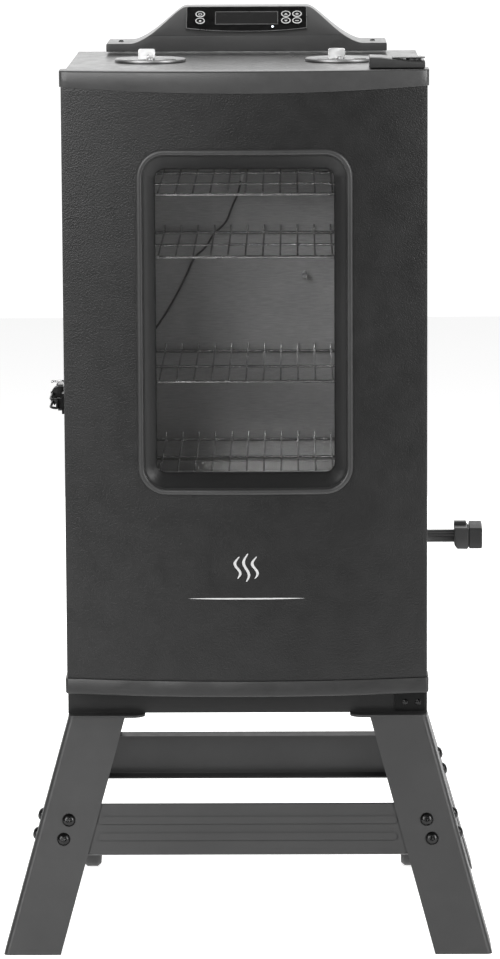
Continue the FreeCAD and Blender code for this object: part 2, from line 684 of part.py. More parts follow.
def window_prism(inset, start, end, corner):
    """A rounded window-shaped prism along Y, inset from the bezel's outer edge."""
    half = D.window_width / 2 - inset
    outline = rectangle(-half, D.window_low + inset, half, D.window_high - inset, corner)
    face = Part.Face(Part.Wire(Part.__sortEdges__([e.toShape() for e in outline])))
    face.rotate(Vector(0, 0, 0), X_AXIS, 90)
    face.translate(Vector(0, start, 0))
    return face.extrude(Vector(0, end - start, 0))


def window_funnel():
    """The sloped space inside the bezel, from the bead back to the glass."""
    wires = []
    bead = D.window_width / 2 - 7.5, D.window_low + 7.5, D.window_high - 7.5, D.window_corner - 8
    glass = D.glass_width / 2, D.glass_low, D.glass_high, 12
    places = [bead + (-250,), bead + (bow_front(132) - 1,), glass + (D.door_front + 0.5,)]
    for half, low, high, corner, along in places:
        wire = Part.Wire(Part.__sortEdges__([e.toShape() for e in rectangle(-half, low, half, high, corner)]))
        wire.rotate(Vector(0, 0, 0), X_AXIS, 90)
        wire.translate(Vector(0, along, 0))
        wires.append(wire)
    return Part.makeLoft(wires, True, True)


def make_door():
    half = D.door_width / 2
    low, high = D.door_bottom + D.cap_height, D.door_top - D.cap_height
    gauge, back = D.skin_gauge, D.door_back
    outer = door_block(half, back, low, high)
    inner = door_block(half - gauge, back + 5, low - 1, high + 1, -gauge, 3.0)
    hole = window_prism(4, -260, D.door_front + 10, D.window_corner - 4)
    node(feature(outer.cut(inner).cut(hole)), "door_skin")

    pin = D.pin_radius + D.running_fit
    for name, start, end in (("top", high + 0.1, D.door_top), ("bottom", D.door_bottom, low - 0.1)):
        cap = door_block(half + 2, back, start, end, 2.0, 5.0)
        rim = end if name == "top" else start
        edges = [e for e in cap.Edges if abs(e.CenterOfMass.z - rim) < 0.01 and e.CenterOfMass.y < D.door_back - 1]
        cap = cap.makeFillet(2.5, edges)
        mouth = end - 16 if name == "top" else start - 0.5
        drill = Part.makeCylinder(pin, 16.5, Vector(D.hinge_across, D.hinge_along, mouth))
        node(feature(cap.cut(drill)), f"door_cap_{name}")

    lip = window_prism(0, -260, D.door_front + 30, D.window_corner)
    proud = door_block(half, D.door_front + 30, low, high, 3.0)
    proud = proud.cut(door_block(half + 9, D.door_front + 31, low - 9, high + 9, 0.2))
    neck = window_prism(4.4, bow_front(0) - 10, D.door_front, D.window_corner - 4.4)
    neck = neck.common(door_block(half, D.door_front + 30, low, high, 0.5))
    bezel = lip.common(proud).fuse(neck).cut(window_funnel())
    node(feature(bezel.removeSplitter()), "window_bezel")
    node(box("glass_width + 12", "glass_gauge", "glass_high - glass_low + 12", "-glass_width / 2 - 6",
             "door_front + 0.2", "glass_low - 6"), "window_glass")

    panel = box("door_width - 8", "skin_gauge", "door_top - door_bottom - 2 * cap_height - 2", "-door_width / 2 + 4",
                "door_back - skin_gauge - 0.1", "door_bottom + cap_height + 1")
    wall_back = "door_back - door_front - 4.8"
    tunnel = box("glass_width + 16", wall_back, "glass_high - glass_low + 16", "-glass_width / 2 - 8",
                 "door_front + glass_gauge + 0.4", "glass_low - 8")
    hollow = box("glass_width + 10", 60, "glass_high - glass_low + 10", "-glass_width / 2 - 5",
                 "door_front", "glass_low - 5")
    node(cut(fuse(panel, tunnel), hollow), "door_liner")
    ring = box(414, "body_front - door_back - clear_gap", 764, -207, "door_back + 0.05", 333.5)
    middle = box(390, 20, 740, -195, "door_back - 4", 345.5)
    node(cut(ring, middle), "door_seal")


def make_hinges():
    """Hinge brackets fixed to the cabinet, each with its pin riveted in, above and below the door."""
    low = D.door_top + D.clear_gap
    plate = box(70, 70, 12.7, 157, -208, str(low))
    heel = box(70, 26, D.door_top - D.body_top + 0.4, 157, -164, "body_top")
    knuckle = rod(15, 14, "hinge_across", "hinge_along", str(low))
    pin = rod("pin_radius", 17, "hinge_across", "hinge_along", "door_top - 15.5")
    trim = box(60, 80, 30, "hinge_across", -222, str(low - 2))
    wells = [rod(4.6, 20, x, -136, "body_top + 3") for x in (168, 206)]
    shanks = [rod(2.3, 9, x, -136, "body_top - 4") for x in (168, 206)]
    top = fuse(cut(fuse(plate, heel), trim, box(90, 40, 20, 150, -153, str(low + 8))), knuckle, pin)
    node(cut(top, *wells, *shanks), "hinge_bracket_top")

    floor = D.door_bottom - D.clear_gap
    plate = box(38, 4, 32, 190, "body_front - 4", 298)
    tongue = box(38, "body_front - hinge_along + 13", 5, 190, "hinge_along - 13", str(floor - 5))
    pin = rod("pin_radius", 18, "hinge_across", "hinge_along", str(floor - 4))
    shanks = [rod(2.3, 12, x, "body_front - 6", 309, Y_AXIS) for x in (203, 220)]
    node(cut(fuse(plate, tongue, pin), *shanks), "hinge_bracket_bottom")


def make_latch():
    """Toggle latch on the left wall: base, lever on an upright pin, and a bail reaching to the door's catch."""
    wall = -D.body_width / 2
    pivot, along = wall - 9.6, -139.0
    throw, tall = 11.0, 26.8
    mid = D.latch_height
    low = mid - tall / 2
    base = box(3, 46, 46, wall - 3.05, -152, mid - 23)
    ears = [box(13, 14, 3, wall - 15, -146, up) for up in (mid - 17, mid + 14)]
    pin = rod(2.5, 34, pivot, along, mid - 17)
    node(fuse(base, *ears, pin), "latch_base")

    hub = rod(6, tall, pivot, along, low)
    cheeks = [box(throw + 2.5, 9, 5.9, pivot - throw - 2.5, along - 4.5, up) for up in (low, low + tall - 5.9)]
    post = rod(2.0, tall, pivot - throw, along, low)
    arm = box(5, 56, tall, pivot - 5.4, along, low)
    curl = box(9, 5, tall, pivot - 11.5, along + 52, low)
    bore = rod(2.5 + D.running_fit, 40, pivot, along, mid - 20)
    node(cut(fuse(hub, *cheeks, post, arm, curl), bore), "latch_lever")

    eye = rod(4.4, 14, pivot - throw, along, mid - 7)
    strap = box(2.4, 66, 14, pivot - throw - 1.2, along - 67.9, mid - 7)
    nose = box(7.9, 3, 14, pivot - throw - 1.2, along - 67.9, mid - 7)
    node(cut(fuse(eye, strap, nose), rod(2.0 + D.running_fit, 30, pivot - throw, along, mid - 15)), "latch_bail")
    catch = box(3, 22, 26, "-door_width / 2 - 3.05", -206, mid - 13)
    ridge = box(9, 4, 14, "-door_width / 2 - 9.4", -202.5, mid - 7)
    node(fuse(catch, ridge), "door_catch")


# ---------------------------------------------------------------- controller

def control_outline(inset=0.0):
    """Front outline: a flat crown, S-shaped flanks and thin wings, in X and Z."""
    base, top = D.control_base, D.control_top - inset
    wing_top = base + D.wing_gauge - inset * 0.6
    wing, crown = D.wing_half - inset * 1.5, D.crown_half - inset * 0.5
    waist = 122.0 - inset
    right = [Part.Arc(Vector(crown - 6, top, 0), Vector(crown + 4, top - 3.6, 0), Vector(crown + 10, top - 11, 0)),
             Part.LineSegment(Vector(crown + 10, top - 11, 0), Vector(waist - 8, wing_top + 9, 0)),
             Part.Arc(Vector(waist - 8, wing_top + 9, 0), Vector(waist - 1, wing_top + 2.4, 0), Vector(waist + 9, wing_top, 0)),
             Part.LineSegment(Vector(waist + 9, wing_top, 0), Vector(wing, wing_top - 3, 0)),
             Part.LineSegment(Vector(wing, wing_top - 3, 0), Vector(wing, base + 2, 0)),
             Part.LineSegment(Vector(wing, base + 2, 0), Vector(wing - 2, base, 0))]
    mirror = FreeCAD.Matrix()
    mirror.scale(-1, 1, 1)
    shapes = [e.toShape() for e in right]
    shapes += [e.toShape().transformGeometry(mirror) for e in right]
    shapes.append(Part.LineSegment(Vector(crown - 6, top, 0), Vector(6 - crown, top, 0)).toShape())
    shapes.append(Part.LineSegment(Vector(wing - 2, base, 0), Vector(2 - wing, base, 0)).toShape())
    wire = Part.Wire(Part.__sortEdges__(shapes))
    wire.rotate(Vector(0, 0, 0), X_AXIS, 90)
    return wire


LEAN_BACK = math.radians(D.panel_lean)
SLOPE_UP = Vector(0, math.sin(LEAN_BACK), math.cos(LEAN_BACK))
SLOPE_IN = Vector(0, math.cos(LEAN_BACK), -math.sin(LEAN_BACK))
BUTTONS = [(-61.7, 28.3), (-61.7, 42.5), (52.3, 28.3), (52.3, 42.5), (67.1, 28.3), (67.1, 42.5)]


def slope_point(across, up, inward=0.0):
    """A point on the controller's leaning face, measured up it from its lower edge."""
    return Vector(across, D.control_front, D.panel_foot) + SLOPE_UP * up + SLOPE_IN * inward


def slope_block(wide, up_low, up_high, inward_low, inward_high):
    """A block square to the leaning face."""
    block = Part.makeBox(wide, inward_high - inward_low, up_high - up_low)
    block.translate(Vector(-wide / 2, inward_low, up_low))
    block.rotate(Vector(0, 0, 0), X_AXIS, -D.panel_lean)
    block.translate(Vector(0, D.control_front, D.panel_foot))
    return block


def make_controller():
    depth = D.control_back - D.control_front
    hull = Part.Face(control_outline()).extrude(Vector(0, depth, 0))
    hull.translate(Vector(0, D.control_front, 0))
    hull = hull.cut(slope_block(500, -1.2, 90, -60, 0))
    gauge = 2.5
    room = Part.Face(control_outline(gauge)).extrude(Vector(0, depth - 2 * gauge, 0))
    room.translate(Vector(0, D.control_front + gauge, -0.01))
    room = room.cut(slope_block(500, -20, 90, -60, gauge))
    floor = Part.makeBox(2 * D.wing_half, 2 * depth, gauge, Vector(-D.wing_half, 0, D.control_base - 0.01))
    room = room.cut(floor)
    window = slope_block(D.panel_width - 8, D.panel_low + 4, D.panel_high - 4, -2, 6)
    foot = Part.makeBox(300, D.body_back - D.control_front - 12, D.control_base - D.body_top - 0.1,
                        Vector(-150, D.control_front + 6, D.body_top + 0.1))
    node(feature(hull.cut(room).cut(window).fuse(foot).removeSplitter()), "controller_housing")

    panel = slope_block(D.panel_width, D.panel_low, D.panel_high, -0.1 - D.panel_gauge, -0.1)
    for across, up in BUTTONS:
        panel = panel.cut(Part.makeCylinder(D.button_radius + D.button_gap, 12, slope_point(across, up, -6), SLOPE_IN))
    node(feature(panel), "control_panel")
    for i, (across, up) in enumerate(BUTTONS, start=1):
        profile = [(0, -3.0), (D.button_radius - 0.8, -3.0), (D.button_radius, -2.5), (D.button_radius, 2.5), (0, 2.5)]
        spot = slope_point(across, up)
        button = turned(profile, str(spot.x), str(spot.y), str(spot.z), SLOPE_IN)
        node(button, f"button_{i}")


# ---------------------------------------------------------------- meat probe and mains inlet

CABLE_PLANE = 163.7
CABLE_RADIUS = 1.4
CABLE_ROUTE = [(-9, 953), (-11, 938), (-21, 918), (-28, 897), (-46, 882), (-56, 863), (-72, 851), (-82, 827),
               (-97, 798), (-112, 772), (-134, 741), (-150, 706), (-161, 664), (-168, 617), (-172, 568), (-175, 520),
               (-176, 478), (-171, 447), (-158, 431), (-141, 431), (-130, 446), (-128, 470)]


def cable_wire():
    """Straight runs joined by tangent arcs, each as large as its two runs allow."""
    points = [Vector(x, CABLE_PLANE, z) for x, z in CABLE_ROUTE]
    edges, radii = [], []
    last = points[0]
    for before, here, after in zip(points, points[1:], points[2:]):
        back, ahead = (before - here), (after - here)
        turn = math.pi - back.getAngle(ahead)
        reach = 0.45 * min(back.Length, ahead.Length)
        radius = reach / math.tan(turn / 2)
        radii.append(radius)
        start, end = here + back.normalize() * reach, here + ahead.normalize() * reach
        bisector = (back + ahead).normalize()
        centre = here + bisector * math.hypot(radius, reach)
        edges.append(Part.LineSegment(last, start).toShape())
        edges.append(Part.Arc(start, centre - bisector * radius, end).toShape())
        last = end
    edges.append(Part.LineSegment(last, points[-1]).toShape())
    return Part.Wire(edges), radii


def make_probe():
    """Gland on the chamber's back wall, the probe's own cable, and the probe held upright at its end."""
    wire, radii = cable_wire()
    head = wire.Edges[0]
    start = head.valueAt(head.FirstParameter)
    ring = Part.Wire([Part.Circle(start, head.tangentAt(head.FirstParameter), CABLE_RADIUS).toShape()])
    cable = wire.makePipeShell([ring], True, False)
    node(feature(cable), "probe_cable")
    print("probe cable length", round(wire.Length, 1), "radii", [round(r, 1) for r in radii])
    print("probe cable volume", round(cable.Volume, 1), round(math.pi * CABLE_RADIUS ** 2 * wire.Length, 1))

    heading = (Vector(CABLE_ROUTE[0][0], 0, CABLE_ROUTE[0][1]) - Vector(CABLE_ROUTE[1][0], 0, CABLE_ROUTE[1][1])).normalize()
    bushing = [(0, 0), (2.6, 0), (3.6, 12), (3.6, 16), (0, 16)]
    gland = turned(bushing, str(start.x), str(start.y), str(start.z), heading)
    foot = box(18, 2.4, 18, start.x - 8, "chamber_back - 2.45", start.z + 4)
    node(fuse(gland, foot), "probe_gland")

    tail, before = [Vector(x, CABLE_PLANE, z) for x, z in (CABLE_ROUTE[-1], CABLE_ROUTE[-2])]
    heading = (tail - before).normalize()
    spike = [(0, 0), (2.6, 0), (3.4, 6), (3.4, 30), (2.0, 34), (2.0, 92), (0, 100)]
    node(turned(spike, str(tail.x), str(tail.y), str(tail.z), heading), "meat_probe")

    sleeve = [(4, -6), (8, -6), (8, 0.1), (14, 0.1), (14, 3), (11, 8), (8.5, 22), (4, 22)]
    node(turned(sleeve, "-120", "body_back", "350", Y_AXIS), "power_inlet")


# ---------------------------------------------------------------- build and write

def check_and_write():
    DOC.recompute()
    for item in DOC.Objects:
        if "Invalid" in item.State or "Error" in item.State:
            raise RuntimeError(f"{item.Label} ({item.Name}) failed: {item.State}")
    for item in NODES:
        shape = item.Shape
        if shape.isNull() or not shape.isValid() or not shape.Solids:
            raise RuntimeError(f"{item.Label} has no valid solid")
    for item in NODES:
        item.Shape.exportStep(f"parts/{item.Label}.step")
    print(len(NODES), "nodes")


BOLTS = all_bolts()
make_legs(BOLTS)
make_beams(BOLTS)
make_fasteners(BOLTS)
make_wheels()
make_shell()
make_chamber()
make_rack_supports()
make_racks()
make_trays()
make_heating()
make_loader()
make_dampers()
make_door()
make_hinges()
make_latch()
make_controller()
make_probe()
check_and_write()
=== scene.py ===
import json
import math

import bmesh
import bpy
from mathutils import Euler, Matrix, Vector


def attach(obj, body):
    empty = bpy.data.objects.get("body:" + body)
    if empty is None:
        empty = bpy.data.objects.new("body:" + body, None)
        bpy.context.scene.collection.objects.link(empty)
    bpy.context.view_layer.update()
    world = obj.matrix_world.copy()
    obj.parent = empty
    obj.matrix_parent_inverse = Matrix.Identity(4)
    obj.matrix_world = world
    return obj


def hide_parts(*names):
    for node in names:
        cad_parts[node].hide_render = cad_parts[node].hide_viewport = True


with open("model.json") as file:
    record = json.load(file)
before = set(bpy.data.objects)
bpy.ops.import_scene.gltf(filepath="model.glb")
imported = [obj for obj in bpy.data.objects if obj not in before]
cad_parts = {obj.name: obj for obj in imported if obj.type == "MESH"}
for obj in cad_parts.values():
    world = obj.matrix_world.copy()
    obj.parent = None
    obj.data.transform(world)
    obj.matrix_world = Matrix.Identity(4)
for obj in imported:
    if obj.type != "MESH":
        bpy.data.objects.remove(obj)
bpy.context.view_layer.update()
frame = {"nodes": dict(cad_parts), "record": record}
NODES = frame["nodes"]
MM = 0.001  # shapes are laid out in millimetres and carried to the frame's metres

# ---------------------------------------------------------------- materials


class Shader:
    """A small helper round one material's node tree; coordinates are the frame's at rest, in metres."""

    def __init__(self, name):
        self.material = bpy.data.materials.new(name)
        self.material.use_nodes = True
        self.tree = self.material.node_tree
        self.bsdf = next(n for n in self.tree.nodes if n.type == "BSDF_PRINCIPLED")
        self.place = self.add("ShaderNodeTexCoord").outputs["Object"]

    def add(self, kind, **settings):
        item = self.tree.nodes.new(kind)
        for key, value in settings.items():
            setattr(item, key, value)
        return item

    def link(self, output, target):
        self.tree.links.new(output, target)

    def stretched(self, scale):
        """The frame's coordinates scaled per axis, for grain that runs along one direction."""
        mapping = self.add("ShaderNodeMapping")
        self.link(self.place, mapping.inputs["Vector"])
        mapping.inputs["Scale"].default_value = scale
        return mapping.outputs["Vector"]

    def noise(self, scale, detail=3.0, rough=0.5, source=None):
        item = self.add("ShaderNodeTexNoise")
        item.inputs["Scale"].default_value = scale
        item.inputs["Detail"].default_value = detail
        item.inputs["Roughness"].default_value = rough
        self.link(source or self.place, item.inputs["Vector"])
        return item.outputs["Fac"]

    def cells(self, scale, source=None, feature="F1"):
        item = self.add("ShaderNodeTexVoronoi", feature=feature)
        item.inputs["Scale"].default_value = scale
        self.link(source or self.place, item.inputs["Vector"])
        return item.outputs["Distance"]

    def spread(self, value, low, high, start=0.3, end=0.7):
        """Maps a texture's middle range on to low..high."""
        item = self.add("ShaderNodeMapRange")
        self.link(value, item.inputs["Value"])
        item.inputs["From Min"].default_value = start
        item.inputs["From Max"].default_value = end
        item.inputs["To Min"].default_value = low
        item.inputs["To Max"].default_value = high
        return item.outputs["Result"]

    def blend(self, value, first, second, start=0.3, end=0.7):
        """Makes the base colour run between two, by a texture."""
        ramp = self.add("ShaderNodeValToRGB")
        self.link(value, ramp.inputs["Fac"])
        ramp.color_ramp.elements[0].position = start
        ramp.color_ramp.elements[1].position = end
        ramp.color_ramp.elements[0].color = (*first, 1)
        ramp.color_ramp.elements[1].color = (*second, 1)
        self.link(ramp.outputs["Color"], self.bsdf.inputs["Base Color"])

    def bump(self, value, height, strength=1.0, under=None):
        item = self.add("ShaderNodeBump")
        item.inputs["Distance"].default_value = height
        item.inputs["Strength"].default_value = strength
        self.link(value, item.inputs["Height"])
        if under:
            self.link(under, item.inputs["Normal"])
        return item.outputs["Normal"]

    def finish(self, roughness=None, normal=None, **constants):
        """Links the last textures, sets plain numbers on the shader's own sockets and gives the material."""
        if roughness is not None:
            self.link(roughness, self.bsdf.inputs["Roughness"])
        if normal is not None:
            self.link(normal, self.bsdf.inputs["Normal"])
        for key, value in constants.items():
            self.bsdf.inputs[key.replace("_", " ")].default_value = value
        return self.material


def tone(value, warm=0.0):
    """A near-grey colour."""
    return (value * (1 + warm), value, value * (1 - warm))


def powder_coat(name, dark, light, rough, height=0.00004, level=0.5):
    """Satin powder coat with fine orange peel and faint patches of wear."""
    s = Shader(name)
    patches, sheen = s.noise(7, 4, 0.6), s.noise(60, 4, 0.6)
    s.blend(patches, tone(dark), tone(light))
    peel = s.bump(s.noise(1300, 2, 0.5), height)
    drift = s.bump(s.noise(90, 2, 0.4), 0.00006, under=peel)
    return s.finish(s.spread(sheen, rough - 0.05, rough + 0.07), drift, Specular_IOR_Level=level)


def pebbled_paint(name, dark, light, rough):
    """Black paint over embossed sheet: close-set rounded pebbles a couple of millimetres across."""
    pebble_scale, pebble_height, jitter_scale, jitter_reach = 620, 0.00020, 260, 0.0016
    s = Shader(name)
    s.blend(s.noise(4, 3, 0.5), tone(dark), tone(light))
    warp = s.add("ShaderNodeVectorMath", operation="ADD")
    jitter = s.add("ShaderNodeTexNoise")
    jitter.inputs["Scale"].default_value = jitter_scale
    s.link(s.place, jitter.inputs["Vector"])
    shrink = s.add("ShaderNodeVectorMath", operation="SCALE")
    shrink.inputs["Scale"].default_value = jitter_reach
    s.link(jitter.outputs["Color"], shrink.inputs[0])
    s.link(s.place, warp.inputs[0])
    s.link(shrink.outputs["Vector"], warp.inputs[1])
    pebble = s.spread(s.cells(pebble_scale, warp.outputs["Vector"], "SMOOTH_F1"), 1.0, 0.0, 0.0, 0.75)
    fine = s.bump(s.noise(2200, 2, 0.5), 0.00002)
    coarse = s.bump(pebble, pebble_height, under=fine)
    return s.finish(s.spread(s.noise(35, 4, 0.6), rough - 0.04, rough + 0.05), coarse, Specular_IOR_Level=0.4)


def moulded(name, dark, light, rough, height=0.00003, coat=0.0, level=0.5):
    """Moulded plastic with a fine spark-eroded grain."""
    s = Shader(name)
    s.blend(s.noise(11, 3, 0.5), tone(dark), tone(light))
    skin = s.bump(s.noise(1900, 3, 0.6), height)
    sheen = s.spread(s.noise(120, 4, 0.6), rough - 0.05, rough + 0.06)
    return s.finish(sheen, skin, Coat_Weight=coat, Coat_Roughness=0.12, IOR=1.49, Specular_IOR_Level=level)


def brushed(name, value, rough, along, contrast=0.10):
    """Metal with a fine directional grain; along gives the scale per axis, lowest along the grain."""
    s = Shader(name)
    grain = s.noise(60, 6, 0.7, s.stretched(along))
    s.blend(grain, tone(value * (1 - contrast)), tone(value * (1 + contrast)))
    s.bsdf.inputs["Metallic"].default_value = 1.0
    cloud = s.noise(9, 3, 0.5)
    lines = s.bump(grain, 0.00003, 0.6)
    return s.finish(s.spread(cloud, rough - 0.05, rough + 0.08), lines, Anisotropic=0.4)


def plated(name, value, rough, warm=0.0):
    """Bright plating: small pits and a slow waviness."""
    s = Shader(name)
    s.blend(s.noise(40, 4, 0.6), tone(value * 0.93, warm), tone(value, warm))
    s.bsdf.inputs["Metallic"].default_value = 1.0
    pits = s.bump(s.noise(800, 3, 0.5), 0.00001)
    return s.finish(s.spread(s.noise(150, 4, 0.6), rough * 0.7, rough * 1.5), pits)


def pane(name, tint, alpha):
    """Clear oven glass, seen as a thin dark veil with sharp reflections and a trace of smoke film."""
    s = Shader(name)
    s.blend(s.noise(6, 4, 0.6), tone(tint * 0.8, 0.05), tone(tint, 0.05))
    film = s.spread(s.noise(5, 5, 0.65), alpha - 0.03, alpha + 0.06)
    s.link(film, s.bsdf.inputs["Alpha"])
    sheen = s.spread(s.noise(30, 3, 0.6), 0.02, 0.07)
    return s.finish(sheen, IOR=1.5, Coat_Weight=0.4, Coat_Roughness=0.02)


def fibrous(name, first, second):
    """Mineral wool."""
    s = Shader(name)
    wool = s.noise(300, 8, 0.75, s.stretched((1, 1, 4)))
    s.blend(wool, first, second)
    return s.finish(None, s.bump(wool, 0.002), Roughness=0.95, Sheen_Weight=0.3)


def glow(name, colour, strength):
    """A small lit lens."""
    s = Shader(name)
    s.blend(s.noise(900, 2, 0.5), tone(0.6), tone(0.8))
    s.bsdf.inputs["Emission Color"].default_value = (*colour, 1)
    return s.finish(None, s.bump(s.noise(700, 2), 0.00001), Roughness=0.2, Emission_Strength=strength)


def braided(name, dark, light, pitch):
    """Cable jacket: a tight woven braid."""
    s = Shader(name)
    weave = s.cells(pitch)
    s.blend(weave, tone(dark), tone(light), 0.1, 0.6)
    return s.finish(s.spread(s.noise(600, 3), 0.5, 0.7), s.bump(weave, 0.0002), Specular_IOR_Level=0.4)


MATERIALS = {
    "stand_paint": powder_coat("stand_paint", 0.021, 0.028, 0.46, level=0.4),
    "cabinet_paint": powder_coat("cabinet_paint", 0.005, 0.008, 0.44, level=0.38),
    # The top's paint is a lighter grey than the black cabinet paint: painted sheen for the light that falls on the
    # top.
    "top_paint": powder_coat("top_paint", 0.060, 0.075, 0.32),
    "door_paint": pebbled_paint("door_paint", 0.006, 0.009, 0.38),
    "door_cap_plastic": moulded("door_cap_plastic", 0.034, 0.044, 0.34),
    "bezel_plastic": moulded("bezel_plastic", 0.024, 0.032, 0.38, level=0.45),
    "window_glass": pane("window_glass", 0.02, 0.16),
    "chamber_steel": brushed("chamber_steel", 0.72, 0.42, (1, 1, 11), contrast=0.18),
    "rack_chrome": plated("rack_chrome", 0.50, 0.20),
    "heater_sheath": plated("heater_sheath", 0.16, 0.5, 0.1),
    "gasket_rubber": moulded("gasket_rubber", 0.012, 0.016, 0.6),
    "insulation_wool": fibrous("insulation_wool", (0.62, 0.50, 0.22), (0.80, 0.70, 0.42)),
    "trim_plastic": moulded("trim_plastic", 0.026, 0.034, 0.34),
    "bracket_steel": plated("bracket_steel", 0.16, 0.32),
    "fastener_steel": plated("fastener_steel", 0.035, 0.24),
    "damper_metal": brushed("damper_metal", 0.26, 0.42, (30, 1, 1)),
    "panel_gloss": moulded("panel_gloss", 0.003, 0.005, 0.2, height=0.000004, level=0.06),
    "button_plastic": moulded("button_plastic", 0.030, 0.036, 0.3),
    "wheel_rubber": moulded("wheel_rubber", 0.016, 0.022, 0.55),
    "cable_jacket": braided("cable_jacket", 0.08, 0.16, 1600),
    "probe_steel": plated("probe_steel", 0.65, 0.18),
}

# Finishes that differ from the record's slots.
LENS_GLOW = glow("lamp_glow", (0.72, 0.86, 1.0), 6.0)
MARK_PRINT = powder_coat("mark_print", 0.42, 0.50, 0.45, height=0.00001)
KEY_PRINT = powder_coat("key_print", 0.55, 0.62, 0.35, height=0.00001)
PAN_STEEL = brushed("pan_steel", 0.66, 0.30, (30, 1, 1))
# On the latch bail's wire, which is chrome, this dark colour is painted shade: it stands in for the dark
# surroundings the chrome reflects.
DARK_STEEL = plated("dark_steel", 0.02, 0.4)
CLAW_PLASTIC = moulded("claw_plastic", 0.003, 0.005, 0.5, level=0.15)
# A darker copy of the bezel plastic for its sloping inner faces: painted shade in the recess round the glass.
SHADED_FUNNEL_PLASTIC = moulded("shaded_funnel_plastic", 0.009, 0.013, 0.40, level=0.35)
# A far brighter plating than the vent cover's metal, for the upright tab: painted highlight where the tab faces the
# front light.
LIT_TAB_METAL = plated("lit_tab_metal", 0.95, 0.35)
DISPLAY_FRAME = moulded("display_frame", 0.050, 0.062, 0.3)
DISPLAY_GLASS = moulded("display_glass", 0.006, 0.009, 0.06, height=0.000003, coat=0.8)
# A darker copy of the door cap plastic for the lower cap: painted shade.
SHADED_LOW_CAP = moulded("shaded_low_cap", 0.016, 0.022, 0.38, level=0.4)
OWN_FINISH = {
    "drip_pan": PAN_STEEL,
    # The lower cap's darker plastic is painted shade.
    "door_cap_bottom": SHADED_LOW_CAP,
    "hinge_bracket_bottom": DARK_STEEL,
    "probe_gland": MATERIALS["chamber_steel"],
    "door_catch": DARK_STEEL,
}
SLOT_OF = {row["node"]: row["material_slot"] for row in frame["record"]["subparts"]}


WELD_REACH = 0.00001
SOFT_EDGE = 0.0004
SHARP_FROM = math.radians(40)
LEFT_SHARP = {"front_frame"}  # its cut faces would shade wrongly with softened edges


def paint_frame():
    """Every CAD node takes its own finish or its slot's; all but those left sharp are welded, with their hard edges
    softened.
    """
    for name, item in NODES.items():
        item.data.materials.clear()
        item.data.materials.append(OWN_FINISH.get(name) or MATERIALS[SLOT_OF[name]])
        if name in LEFT_SHARP:
            continue
        weld = item.modifiers.new("weld", "WELD")
        weld.merge_threshold = WELD_REACH
        bevel = item.modifiers.new("soften", "BEVEL")
        bevel.width = SOFT_EDGE
        bevel.segments = 2
        bevel.limit_method = "ANGLE"
        bevel.angle_limit = SHARP_FROM
        bevel.harden_normals = True


paint_frame()

# ---------------------------------------------------------------- meshes


def as_piece(name, mesh, material, body, sharp=35):
    """Links a finished mesh as a piece of the object, with a material given itself or by its slot's name."""
    mesh.shade_smooth()
    mesh.set_sharp_from_angle(angle=math.radians(sharp))
    item = bpy.data.objects.new(name, mesh)
    bpy.context.scene.collection.objects.link(item)
    item.data.materials.append(MATERIALS[material] if isinstance(material, str) else material)
    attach(item, body)
    return item


def from_bmesh(name, shape):
    """A mesh of a bmesh, with its faces turned outwards; the bmesh is used up."""
    bmesh.ops.recalc_face_normals(shape, faces=shape.faces)
    mesh = bpy.data.meshes.new(name)
    shape.to_mesh(mesh)
    shape.free()
    return mesh


def lathe(profile, place, axis, segments=72):
    """A turned shape: profile points are (radius, distance along the axis), in millimetres."""
    shape = bmesh.new()
    axis = Vector(axis).normalized()
    side = axis.orthogonal().normalized()
    across = axis.cross(side)
    centre = Vector(place)
    rings = []
    for radius, along in profile:
        ring = []
        for i in range(segments if radius > 1e-6 else 1):
            a = 2 * math.pi * i / segments
            out = side * math.cos(a) + across * math.sin(a)
            ring.append(shape.verts.new((centre + axis * along + out * radius) * MM))
        rings.append(ring)
    for first, second in zip(rings, rings[1:]):
        for i in range(segments):
            j = (i + 1) % segments
            near, far = len(first), len(second)
            quad = [first[i % near], first[j % near], second[j % far], second[i % far]]
            corners = list(dict.fromkeys(quad))
            if len(corners) > 2:
                shape.faces.new(corners)
    return shape


def loft(sections, closed_way=False):
    """A closed skin through sections of equally many points, in millimetres: capped, or joined end to start."""
    shape = bmesh.new()
    rings = [[shape.verts.new(Vector(point) * MM) for point in section] for section in sections]
    count = len(rings[0])
    pairs = list(zip(rings, rings[1:])) + ([(rings[-1], rings[0])] if closed_way else [])
    for first, second in pairs:
        for i in range(count):
            j = (i + 1) % count
            shape.faces.new((first[i], first[j], second[j], second[i]))
    if not closed_way:
        shape.faces.new(rings[0])
        shape.faces.new(list(reversed(rings[-1])))
    return shape


def rounded(corners, radii, steps=6):
    """A closed flat outline with its corners rounded, as a list of points."""
    points = []
    count = len(corners)
    radii = radii if isinstance(radii, (list, tuple)) else [radii] * count
    for i in range(count):
        here = Vector(corners[i])
        back = (Vector(corners[i - 1]) - here).normalized()
        ahead = (Vector(corners[(i + 1) % count]) - here).normalized()
        if radii[i] <= 0:
            points.append(here)
            continue
        half = back.angle(ahead) / 2
        reach = radii[i] / math.tan(half)
        centre = here + (back + ahead).normalized() * (radii[i] / math.sin(half))
        start, end = here + back * reach - centre, here + ahead * reach - centre
        sweep = math.pi - 2 * half
        for k in range(steps + 1):
            t = k / steps
            turned = start * math.sin((1 - t) * sweep) + end * math.sin(t * sweep)
            points.append(centre + turned / math.sin(sweep))
    return points


